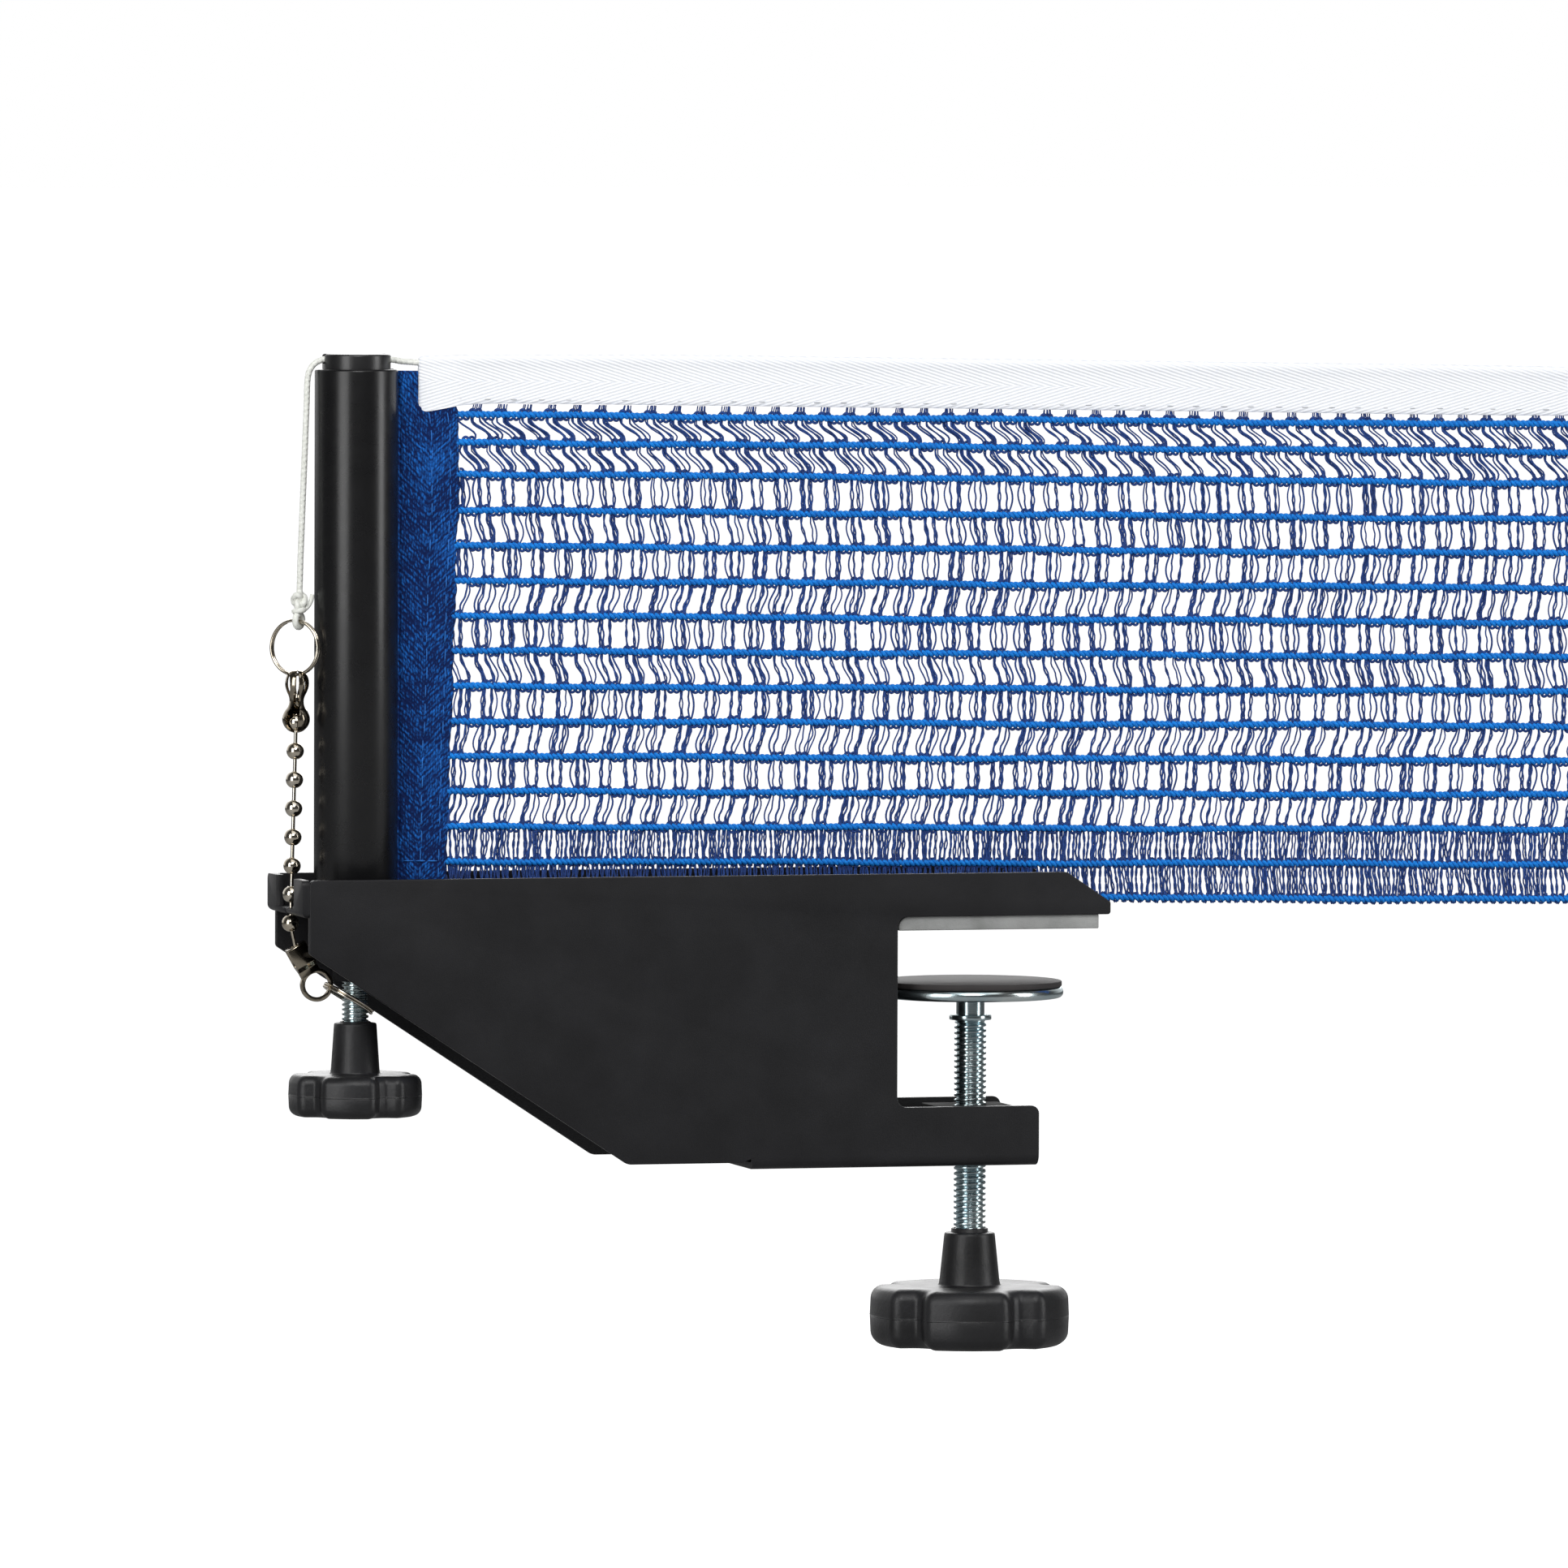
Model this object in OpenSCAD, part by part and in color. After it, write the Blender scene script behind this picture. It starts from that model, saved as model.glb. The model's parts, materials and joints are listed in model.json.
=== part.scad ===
// Table tennis net clamp: screw clamp bracket, net post, tension chain and net end.
// Millimetres. Origin: centre of the upper jaw pad's underside, on the playing
// surface (z = 0). +X runs along the net towards the middle of the table, +Y points
// away from the player who looks at the net, and +Z up.

/* [Bracket] */
// Thickness of the bracket's steel sheet
sheet_t = 2; // [1.5:0.1:2.5]
// Width across the two side plates
bracket_w = 40; // [38:1:46]
// Height of the side plates above the table
bracket_top = 15.1; // [14:0.1:18]
// Reach of the upper arm over the table
upper_arm = 58.5; // [58:0.5:66]
// Length of the sloping edge on the upper arm's nose
nose_slope = 12; // [6:1:18]
// Height of the upright edge of the nose
nose_h = 3.3; // [2.5:0.1:5]
// Reach of the lower arm under the table
lower_arm = 39; // [38:0.5:46]
// Height of the lower arm
lower_arm_h = 15.9; // [14:0.1:18]
// Depth of the bracket's underside below the table
bracket_depth = 62.7; // [60:0.1:70]
// Distance from the table's edge to the lower end of the slanted edge
belly_back = 73.5; // [64:0.5:80]
// Depth of the slanted edge's upper end below the table
heel_depth = 4.2; // [3:0.2:8]
// Distance from the post's axis to the bracket's outer end
tail = 17.1; // [15.5:0.1:20]
// Length of the folded floor behind the table's edge
floor_back = 39.5; // [30:0.5:50]
// How far the folded floor lies below the side plates' free edge
floor_drop = 1.9; // [1:0.1:2.5]
// Outer bend radius of the folded floor
bend_r = 3; // [2.6:0.1:4]
// Radius of the throat's inner corners
throat_r = 2.7; // [1:0.1:4]

/* [Upper jaw] */
// Length of the jaw pad
pad_len = 55; // [50:0.5:57]
// Thickness of the jaw pad
pad_t = 3.75; // [2.5:0.05:5]
// Distance from the table's edge to the jaw pad
pad_inset = 0.5; // [0:0.1:1]
// How far the jaw pad stops short of the bracket's faces on each side
pad_side = 1; // [0.5:0.1:3]
// Depth to which the jaw plate reaches down the throat
jaw_plate_depth = 50; // [20:1:55]

/* [Clamp screw] */
// Distance from the table's edge to the screw's axis
screw_inset = 25.5; // [25.5:0.1:28]
// Outside diameter of the thread
screw_d = 8.5; // [6:0.1:10]
// Clamping gap between the jaw pad and the disc pad
grip = 14.5; // [13:0.1:22]
// Length from the disc's underside to the knob
screw_free = 62.7; // [56:0.1:80]
// Depth of the screw in the knob
screw_seat = 18; // [12:1:22]
// Diameter of the smooth neck
neck_d = 7.5; // [5:0.1:8]
// Length of the smooth neck under the disc
neck_len = 4.7; // [3:0.1:8]
// Diameter of the riveted head inside the disc
head_d = 11; // [9.5:0.1:13]
// Thickness of the riveted head
head_t = 1.2; // [0.8:0.1:1.6]
// Diameter of the retaining clip
clip_d = 11.2; // [10.5:0.1:13]
// Thickness of the retaining clip
clip_t = 1.3; // [0.8:0.1:1.8]
// Width of the square clamp nut
clamp_nut_w = 21; // [16:0.5:24]
// Height of the clamp nut
clamp_nut_h = 13; // [8:0.5:13]

/* [Pressure disc] */
// Diameter of the steel disc
disc_d = 49.4; // [40:0.2:50]
// Thickness of the steel disc
disc_t = 3; // [2.6:0.1:4]
// Diameter of the rubber face
disc_pad_d = 48.6; // [38:0.2:49]
// Thickness of the rubber face
disc_pad_t = 1.5; // [1:0.1:3]

/* [Clamp knob] */
// Diameter across the lobes
clamp_knob_d = 54; // [46:1:60]
// Height of the lobed part
clamp_knob_h = 15.9; // [13:0.1:18]
// Width of one lobe
clamp_lobe_w = 23; // [20:0.5:24]
// Radius of the valleys between the lobes
clamp_valley_r = 22.2; // [19:0.1:23]
// Height of the stem
clamp_stem_h = 14.1; // [10:0.1:18]
// Diameter of the stem's top
clamp_stem_d = 13.4; // [12:0.1:15]
// Diameter of the stem's base
clamp_stem_base_d = 16.3; // [15:0.1:19]
// Turn of the front lobe from the +X axis, in degrees
clamp_lobe_turn = -106.8; // [-142:0.2:-70]
// Height of the collar on the stem
stem_collar_h = 1.2; // [0.5:0.1:2]

/* [Post] */
// Distance from the table's edge to the post's outer side
post_reach = 153.7; // [145:0.5:158]
// Outside diameter of the post
post_d = 22; // [21:0.1:24]
// Wall of the post
post_wall = 1.5; // [1.2:0.1:1.8]
// Height of the post above the table
post_top = 148.6; // [140:0.1:152]
// Width of the slot for the net's hem
post_slot_w = 3.2; // [2.8:0.1:4]
// Height at which the slot starts
slot_start = 7; // [6.5:0.1:12]
// Diameter of the cap
cap_d = 18; // [17:0.1:18.4]
// Length of the cap
cap_len = 8; // [6:0.1:12]
// How far the cap stands above the post
cap_rise = 4; // [3:0.1:5]
// Depth of the cord groove across the cap
groove_depth = 2.6; // [2.2:0.1:3]
// Width of the cord groove
groove_w = 2.6; // [2.3:0.1:3.5]
// Diameter of the lifting rod
lift_rod_d = 7; // [5:0.1:7.2]
// Height of the guide collar on the lifting rod
guide_h = 3; // [2:0.1:5]
// Thickness of the two bridges that carry the post
bridge_t = 2; // [1.5:0.1:3]
// Height of the upper bridge's top above the table
upper_bridge_z = 6; // [5:0.1:6.4]
// Depth of the lower bridge's top below the table
lower_bridge_depth = 4; // [3.5:0.1:4.5]
// Length of each bridge from the post's axis towards the table
bridge_len = 15; // [13:0.5:20]
// Length of the upper bridge from the post's axis outwards
bridge_tail = 12; // [11.5:0.1:12.5]
// Travel of the lifting rod below its place at rest
lower_travel = 3.5; // [1:0.1:3.5]

/* [Height screw] */
// Outside diameter of the thread
height_screw_d = 7; // [5:0.1:7]
// Depth of the screw's tip below the table
height_tip_depth = 2; // [0.5:0.1:2.5]
// Length from the tip to the knob
height_screw_free = 21.6; // [21:0.1:30]
// Depth of the screw in the knob
height_screw_seat = 14; // [8:1:20]
// Width across the flats of the weld nut
height_nut_w = 11; // [10:0.1:12]
// Height of the weld nut
height_nut_h = 6.5; // [4:0.1:6.5]
// Diameter of the height knob across its lobes
height_knob_d = 36; // [32:0.5:40]
// Height of the height knob's lobed part
height_knob_h = 11.1; // [9:0.1:13]
// Width of one lobe of the height knob
height_lobe_w = 14.4; // [13:0.1:15]
// Radius of the height knob's valleys
height_valley_r = 14.8; // [13:0.1:15.4]
// Height of the height knob's stem
height_stem_h = 13.4; // [9:0.1:16]
// Diameter of the stem's top
height_stem_d = 11.2; // [9.5:0.1:12]
// Diameter of the stem's base
height_stem_base_d = 13; // [12:0.1:15]
// Turn of the front lobe from the +X axis, in degrees
height_lobe_turn = -110; // [-146:0.5:-74]

/* [Chain] */
// Thickness of the chain hook's sheet
hook_t = 2; // [1.6:0.1:2.4]
// Thickness of the hook's lip
lip_t = 1.7; // [1.4:0.1:2.2]
// Height of the lip's underside above the table
hook_under = 5.2; // [4.6:0.1:6]
// Width of the window in the hook
hook_window = 20; // [12:1:26]
// Width of the notch for the chain
notch_w = 1.7; // [1.5:0.1:2.2]
// Distance from the post's axis to the chain
chain_out = 17.5; // [17.2:0.1:18.5]
// Diameter of the balls
ball_d = 4.6; // [4:0.1:5]
// Distance from ball to ball
ball_pitch = 7.55; // [7:0.05:8]
// Number of balls between the hook and the coupling
ball_count = 8; // [6:1:9]
// Wall of the hollow balls
ball_wall = 0.35; // [0.3:0.05:0.5]
// Diameter of the link wire
link_d = 1; // [0.8:0.05:1.1]
// Lean of the chain towards the post, in degrees
chain_lean = 1.5; // [0:0.1:2]
// Wire diameter of the split rings
ring_wire = 0.8; // [0.6:0.05:0.8]
// Mean radius of the upper ring
upper_ring_r = 7.15; // [6.8:0.05:7.2]
// Play of the lower ring round the height screw
ring_slack = 3.65; // [3.6:0.05:4.2]
// Height of the upper coupling
coupling_h = 16.7; // [15:0.1:18]
// Diameter of the upper coupling's bulb round the last ball
bulb_d = 7.3; // [6.8:0.1:8.4]
// Diameter of the upper coupling's bulb round the ring
ring_bulb_d = 6.3; // [6:0.1:7]
// Width of the lower coupling's strap
strap_w = 5.5; // [4.5:0.1:6]
// Diameter of the lower coupling's eye
eye_d = 8.8; // [8.4:0.1:9.4]
// Diameter of the eye's hole
eye_hole_d = 6.4; // [6.2:0.1:6.8]

/* [Net] */
// Length of netting between the two hems
net_len = 317.5; // [200:0.5:340]
// Height of the tape's upper edge at its outer end
tape_top = 152.2; // [148:0.1:153]
// Height of the tape
tape_h = 12.9; // [10:0.1:15]
// Thickness of the tape over both layers
tape_t = 2.4; // [2:0.1:3]
// Distance from the post's axis to the tape
tape_start = 16.7; // [14:0.1:20]
// Distance from the post's axis to the hem's edge at the tape
hem_out = 28; // [24:0.1:30]
// How much narrower the hem is at its foot
hem_taper = 4; // [0:0.1:5]
// Thickness of the hem
hem_t = 1.8; // [1.4:0.1:2.4]
// Diameter of the rod in the hem
hem_rod_d = 4; // [3:0.1:4.2]
// Height of the hem's foot above the table
hem_foot = 8; // [7.5:0.1:10]
// Diameter of the horizontal cords
row_d = 1.9; // [1.2:0.1:2.4]
// Number of horizontal cords
row_count = 15; // [8:1:15]
// Distance from the tape to the first horizontal cord
first_row_drop = 2.2; // [1.5:0.1:4]
// Distance between the first three horizontal cords
upper_row_pitch = 8.1; // [6:0.05:9]
// Gap between the lowest cord and the jaw plate
net_clear = 0.4; // [0.3:0.1:3]
// Width of the upright strands
strand_w = 1.2; // [0.8:0.1:1.6]
// Number of upright gaps between the hems
strand_gaps = 19; // [8:1:20]
// Droop of the net towards the middle of the table, per unit of length
droop = 0.0135; // [0:0.0005:0.0145]
// Diameter of the tension cord
cord_d = 1.7; // [1.2:0.1:2]
// Width of the far hem
far_hem_w = 14; // [8:0.5:20]

/* [Fits] */
// Running clearance on the radius of screws and guides
run_fit = 0.05; // [0.02:0.01:0.1]
// Axial play between pieces that turn on each other
face_play = 0.05; // [0.05:0.01:0.2]
// Clearance of pieces that pass each other freely
pass_gap = 0.5; // [0.3:0.1:0.8]

/* [Hidden] */
$fn = 64;

plate_y = bracket_w / 2;
inner_y = plate_y - sheet_t;

// The table's edge, which the throat stops at
edge_x = -(pad_len / 2 + pad_inset);
nose_x = edge_x + upper_arm;
arm_end_x = edge_x + lower_arm;
lower_arm_z = lower_arm_h - bracket_depth;
floor_x = edge_x - floor_back;
free_edge_z = floor_drop - bracket_depth;
floor_top_z = sheet_t - bracket_depth;

// Clamp screw, from the pad down
screw_x = edge_x + screw_inset;
disc_top_z = -grip - disc_pad_t;
disc_under_z = disc_top_z - disc_t;
thread_top_z = disc_under_z - neck_len - clip_t;
clamp_knob_z = disc_under_z - screw_free;

// Post and height screw, which share one axis
post_x = edge_x - post_reach + post_d / 2;
left_x = post_x - tail;
post_bore = post_d - 2 * post_wall;
lower_bridge_z = -lower_bridge_depth;
cap_top_z = post_top + cap_rise;
cap_under_z = cap_top_z - cap_len;
height_tip_z = -height_tip_depth;
height_knob_z = height_tip_z - height_screw_free;

// Chain: it hangs from the cord and its lowest ball catches under the hook's lip.
// Heights here run along the chain's own axis, from the lip's underside.
chain_x = post_x - chain_out;
ball_r = ball_d / 2;
first_ball = -ball_r;
last_ball = first_ball + (ball_count - 1) * ball_pitch;
link_hole_d = link_d + 0.8;
head_start = 0.3;
link_head_t = 0.5;
// The last ball rests in the lower bulb of the upper coupling
bulb_r = bulb_d / 2;
ring_bulb_r = ring_bulb_d / 2;
shell_t = 0.5;
bulb_gap = coupling_h - bulb_r - ring_bulb_r;
lower_bulb = last_ball + bulb_r - shell_t - ball_r;
upper_bulb = lower_bulb + bulb_gap;
ring_step = ring_wire * 0.9;
upper_ring_z = upper_bulb + ring_bulb_r - shell_t - 0.9 + upper_ring_r;
// The ring stands clear of the post: its plane is turned, and it has slid along itself
upper_ring_turn = -45;
upper_ring_slip = -0.93;
knot_z = upper_ring_z + upper_ring_r;
knot_loop_r = ring_wire / 2 + ring_step / 2 + 0.1 + cord_d / 2;
knot_foot = knot_z + knot_loop_r - 0.3;
knot_top = knot_foot + 6.2;
function chain_point(s) =
    [-chain_out + s * sin(chain_lean), hook_under + s * cos(chain_lean)];

// The lower coupling leans from the ball under the lip to the ring round the screw
eye_x = post_x - 10.5;
eye_z = -13.5;
clasp_lean = 29.5;
clasp_foot = 6.4;
clasp_top = 12;
clasp_depth = 3.8;
strap_t = 0.5;
eye_t = 1.2;
// Its link runs from the first ball's centre into the clasp
function clasp_point(s) = [eye_x - s * sin(clasp_lean), eye_z + s * cos(clasp_lean)];
ball_at = [post_x, 0] + chain_point(first_ball);
drop = clasp_point(clasp_top - strap_t) - ball_at;
low_link_lean = atan2(drop[0], -drop[1]);
low_link_len = norm(drop) + 1.2;
first_ball_turn = -(low_link_lean + chain_lean) / 2;
// The ring hangs on the right side of the eye's hole and goes round the screw
lower_ring_tilt = 31;
lower_ring_r = height_screw_d / 2 + ring_slack;
lower_ring_x = eye_x + eye_hole_d / 2 - 0.7 + lower_ring_r * cos(lower_ring_tilt);
lower_ring_z = eye_z - lower_ring_r * sin(lower_ring_tilt);

// Net, in a plane that droops to the right from the post's axis
tape_low = tape_top - tape_h;
// The lowest cord clears the jaw plate's end, where it droops most
low_row = pad_t + sheet_t + net_clear + row_d / 2 + droop * (nose_x - sheet_t - post_x);
third_row = tape_low - first_row_drop - 2 * upper_row_pitch;
row_z = [for (i = [0 : row_count - 1])
    i < 3 ? third_row + (2 - i) * upper_row_pitch :
        third_row + (low_row - third_row) * (i - 2) / (row_count - 3)];
net_start = hem_out - hem_taper;
net_end = hem_out + net_len;
tape_end = net_end + far_hem_w - 2;
hem_rod_x = (lift_rod_d / 2 + post_bore / 2) / 2 + 0.2;
hem_loop_d = hem_rod_d + 1.4;
hem_loop_top = cap_under_z - lower_travel - pass_gap;

// Tension cord from the tape's end over the cap and down to the knot: [x, z] from
// the post's axis and the table
cord_foot = chain_point(knot_top + 8);
cord_brow = [-13.4, post_top - 8];
cord_route = [
    for (p = [
        [tape_start, 1.6], [(tape_start + 12) / 2, 1.8], [12, 2], [9.6, 2.4], [5, 2.5], [0, 2.5],
        [-5, 2.6], [-7.5, 2.7], [-9.4, 2.4], [-11.1, 1.6], [-12.3, 0.3],
        [-13, -1.4], [-13.3, -4]
    ]) [p[0], post_top + p[1]],
    each [for (k = [0 : 9]) cord_brow + (cord_foot - cord_brow) * k / 9],
    chain_point(knot_top + 4), chain_point(knot_top + 2), chain_point(knot_top)
];

// Points of a polygon whose corners [x, y, radius] are rounded
function unit(v) = v / norm(v);
function corner(a, p, b, r, n) =
    let (
        u = unit(a - p),
        v = unit(b - p),
        half = acos(u * v) / 2,
        centre = p + unit(u + v) * r / sin(half),
        from = p + u * r / tan(half) - centre,
        to = p + v * r / tan(half) - centre,
        turn = 180 - 2 * half
    )
    [for (i = [0 : n])
        centre + (from * sin(turn * (1 - i / n)) + to * sin(turn * i / n)) / sin(turn)];
function flat(p) = [p[0], p[1]];
function rounded(pts, n = 6) =
    let (m = len(pts))
    [for (i = [0 : m - 1])
        each pts[i][2] == 0 ? [flat(pts[i])] :
            corner(flat(pts[(i + m - 1) % m]), flat(pts[i]), flat(pts[(i + 1) % m]), pts[i][2], n)];

// Profile in XZ, extruded along Y between two values
module across(y0, y1) {
    translate([0, y1, 0]) rotate([90, 0, 0]) linear_extrude(y1 - y0) children();
}

// Profile in YZ, extruded along X between two values
module along(x0, x1) {
    translate([x0, 0, 0]) rotate([90, 0, 90]) linear_extrude(x1 - x0) children();
}

module on_post() {
    translate([post_x, 0, 0]) children();
}

module on_screw() {
    translate([screw_x, 0, 0]) children();
}

// The chain's own frame: origin at the lip's underside, +Z along the chain
module on_chain() {
    translate([chain_x, 0, hook_under]) rotate([0, chain_lean, 0]) children();
}

// The upper ring's own frame, whose XY plane is the ring's plane
module on_upper_ring() {
    on_chain() translate([0, 0, upper_ring_z]) rotate([90, 0, upper_ring_turn])
        translate([upper_ring_slip, 0, 0]) children();
}

module torus(mean_r, wire_d) {
    rotate_extrude() translate([mean_r, 0]) circle(d = wire_d, $fn = 24);
}

// Split ring: two turns of wire side by side
module split_ring(mean_r) {
    rotate_extrude() for (side = [-1, 1])
        translate([mean_r, side * ring_step / 2]) circle(d = ring_wire, $fn = 24);
}

// ---- Bracket ----

module side_outline() {
    polygon(rounded([
        [left_x, bracket_top, 1.4],
        [nose_x - nose_slope, bracket_top, 2],
        [nose_x, pad_t + nose_h, 0.8],
        [nose_x, pad_t, 0.8],
        [edge_x, pad_t, throat_r],
        [edge_x, lower_arm_z, throat_r],
        [arm_end_x, lower_arm_z, 2.1],
        [arm_end_x, bend_r - bracket_depth, 0],
        [floor_x, bend_r - bracket_depth, 0],
        [floor_x - bend_r, free_edge_z, 0],
        [edge_x - belly_back, free_edge_z, 3],
        [left_x, -heel_depth, 1.2]
    ]));
}

// Section of the folded floor: a flat-bottomed U with bent corners
module floor_section() {
    polygon(rounded([
        [-plate_y, bend_r - bracket_depth, 0],
        [-plate_y, -bracket_depth, bend_r],
        [plate_y, -bracket_depth, bend_r],
        [plate_y, bend_r - bracket_depth, 0],
        [inner_y, bend_r - bracket_depth, 0],
        [inner_y, floor_top_z, bend_r - sheet_t],
        [-inner_y, floor_top_z, bend_r - sheet_t],
        [-inner_y, bend_r - bracket_depth, 0]
    ]));
}

module bracket() {
    color("#1d1d1f") difference() {
        union() {
            across(-plate_y, -inner_y) side_outline();
            across(inner_y, plate_y) side_outline();
            along(floor_x, arm_end_x) floor_section();
        }
        on_screw() translate([0, 0, -bracket_depth - 1])
            cylinder(d = screw_d + 2 * pass_gap, h = bend_r + sheet_t);
    }
}

// Bent strip welded between the side plates: it backs the jaw pad and the throat
module jaw_plate() {
    end_x = nose_x - sheet_t;
    back_x = edge_x - sheet_t;
    color("#202022") across(-inner_y, inner_y) polygon(rounded([
        [end_x, pad_t + sheet_t, 0],
        [end_x, pad_t, 0],
        [edge_x, pad_t, throat_r],
        [edge_x, -jaw_plate_depth, 0],
        [back_x, -jaw_plate_depth, 0],
        [back_x, pad_t + sheet_t, throat_r + sheet_t]
    ]));
}

module jaw_pad() {
    color("#8f9092") across(pad_side - plate_y, plate_y - pad_side) polygon(rounded([
        [-pad_len / 2, pad_t, throat_r],
        [-pad_len / 2, 0, 0.3],
        [pad_len / 2, 0, 0.3],
        [pad_len / 2, pad_t, 0.3]
    ]));
}

// Bent end piece: a plate with a window, whose notched lip holds the chain
module chain_hook() {
    plate_x = left_x - hook_t;
    lip_x = post_x - bridge_tail;
    lip_top = hook_under + lip_t;
    color("#19191b") difference() {
        union() {
            intersection() {
                across(-plate_y, plate_y) polygon(rounded([
                    [plate_x, bracket_top, 0],
                    [left_x, bracket_top, 0],
                    [left_x, hook_under, 0],
                    [plate_x, hook_under, lip_t]
                ]));
                along(plate_x - 1, left_x + 1) polygon(rounded([
                    [-plate_y, hook_under, 1.5],
                    [plate_y, hook_under, 1.5],
                    [plate_y, bracket_top, 1.5],
                    [-plate_y, bracket_top, 1.5]
                ]));
            }
            translate([left_x - 0.2, -inner_y, hook_under])
                cube([lip_x - left_x + 0.2, 2 * inner_y, lip_t]);
        }
        translate([plate_x - 1, -hook_window / 2, lip_top])
            cube([hook_t + 2, hook_window, bracket_top]);
        translate([plate_x - 1, -notch_w / 2, hook_under - 1])
            cube([chain_x - plate_x + 1 + notch_w / 2, notch_w, lip_t + 2]);
    }
}

// ---- Clamp screw ----

module clamp_nut() {
    color("#b9c0c4") difference() {
        on_screw() translate([-clamp_nut_w / 2, -clamp_nut_w / 2, floor_top_z])
            cube([clamp_nut_w, clamp_nut_w, clamp_nut_h]);
        on_screw() translate([0, 0, floor_top_z - 1])
            cylinder(d = screw_d + 2 * run_fit, h = clamp_nut_h + 2);
    }
}

module clamp_screw() {
    head_z = disc_top_z - face_play - head_t;
    color("#c3ccd0") on_screw() {
        translate([0, 0, head_z]) cylinder(d = head_d, h = head_t);
        translate([0, 0, thread_top_z]) cylinder(d = neck_d, h = head_z - thread_top_z);
        translate([0, 0, clamp_knob_z - screw_seat])
            cylinder(d = screw_d, h = thread_top_z - clamp_knob_z + screw_seat);
    }
}

module disc_clip() {
    color("#9aa1a5") on_screw() translate([0, 0, thread_top_z]) difference() {
        cylinder(d = clip_d, h = clip_t);
        translate([0, 0, -1]) cylinder(d = neck_d, h = clip_t + 2);
    }
}

module pressure_disc() {
    rim = disc_t * 0.45;
    pocket_z = disc_t - head_t - 2 * face_play;
    color("#b5c2c8") on_screw() translate([0, 0, disc_under_z]) difference() {
        rotate_extrude() polygon(rounded([
            [0, 0, 0], [disc_d / 2, 0, rim], [disc_d / 2, disc_t, rim], [0, disc_t, 0]
        ]));
        translate([0, 0, -1]) cylinder(d = neck_d + 2 * run_fit, h = disc_t + 2);
        translate([0, 0, pocket_z]) cylinder(d = head_d + pass_gap, h = disc_t);
    }
}

module disc_pad() {
    color("#1f1b1b") on_screw() translate([0, 0, disc_top_z])
        cylinder(d = disc_pad_d, h = disc_pad_t);
}

// ---- Star knobs ----

// Star outline with parallel-sided lobes; the first lobe points along +X
function star(r, lobe_w, valley_r, round_r, lobes = 5) =
    let (
        half = asin(lobe_w / 2 / r),
        foot = asin(lobe_w / 2 / valley_r) + (180 / lobes - asin(lobe_w / 2 / valley_r)) * 0.45
    )
    rounded([for (i = [0 : lobes - 1])
        each let (a = i * 360 / lobes) [
            [valley_r * cos(a - foot), valley_r * sin(a - foot), round_r * 0.4],
            [r * cos(a - half), r * sin(a - half), round_r],
            [r * cos(a), r * sin(a), r * 0.9],
            [r * cos(a + half), r * sin(a + half), round_r],
            [valley_r * cos(a + foot), valley_r * sin(a + foot), round_r * 0.4]
        ]], 3);

// Each point moved inwards along the outline's own normal
function inset(pts, d) =
    let (m = len(pts))
    [for (i = [0 : m - 1])
        let (
            t = unit(unit(pts[(i + 1) % m] - pts[i]) + unit(pts[i] - pts[(i + m - 1) % m]))
        )
        pts[i] + d * [-t[1], t[0]]];

// Prism of an outline whose top and bottom edges are rounded by r
module rounded_prism(outline, h, r, steps = 4) {
    m = len(outline);
    levels = [
        each [for (k = [0 : steps]) [r - r * sin(90 * k / steps), r - r * cos(90 * k / steps)]],
        each [for (k = [steps : -1 : 0])
            [r - r * sin(90 * k / steps), h - r + r * cos(90 * k / steps)]]
    ];
    rings = [for (l = levels) [for (p = inset(outline, l[0])) [p[0], p[1], l[1]]]];
    sides = [for (k = [0 : len(levels) - 2], i = [0 : m - 1])
        each let (a = k * m + i, b = k * m + (i + 1) % m)
            [[a, a + m, b], [b, a + m, b + m]]];
    bottom = [for (i = [0 : m - 1]) i];
    top = [for (i = [m - 1 : -1 : 0]) (len(levels) - 1) * m + i];
    polyhedron(points = [for (ring = rings) each ring], faces = [bottom, top, each sides]);
}

// Knob with its stem's top at z = 0, bored for the screw
module star_knob(d, h, lobe_w, valley_r, turn, stem, collar, bore_d, seat) {
    edge_r = h * 0.28;
    difference() {
        union() {
            rotate([0, 0, turn]) translate([0, 0, -stem[0] - h])
                rounded_prism(star(d / 2, lobe_w, valley_r, edge_r + 0.5), h, edge_r);
            rotate_extrude() polygon(rounded([
                [0, -stem[0] - 1, 0],
                [stem[2] / 2, -stem[0] - 1, 0],
                [stem[2] / 2, -stem[0], 0],
                [stem[1] / 2, 0, 1],
                [0, 0, 0]
            ]));
            cylinder(d = bore_d + 1.4, h = collar);
        }
        translate([0, 0, -seat]) cylinder(d = bore_d, h = seat + collar + 1);
    }
}

module clamp_knob() {
    color("#2a2a2c") on_screw() translate([0, 0, clamp_knob_z])
        star_knob(clamp_knob_d, clamp_knob_h, clamp_lobe_w, clamp_valley_r, clamp_lobe_turn,
            [clamp_stem_h, clamp_stem_d, clamp_stem_base_d], stem_collar_h, screw_d, screw_seat);
}

module height_knob() {
    color("#2a2a2c") on_post() translate([0, 0, height_knob_z])
        star_knob(height_knob_d, height_knob_h, height_lobe_w, height_valley_r,
            height_lobe_turn, [height_stem_h, height_stem_d, height_stem_base_d], 0.4,
            height_screw_d, height_screw_seat);
}

// ---- Post ----

module bridge(top_z, hole_d, back) {
    on_post() difference() {
        translate([-back, -inner_y, top_z - bridge_t])
            cube([back + bridge_len, 2 * inner_y, bridge_t]);
        translate([0, 0, top_z - bridge_t - 1]) cylinder(d = hole_d, h = bridge_t + 2);
    }
}

module post_bridge_upper() {
    color("#1d1d1f") bridge(upper_bridge_z, post_d + 2 * run_fit, bridge_tail);
}

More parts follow.
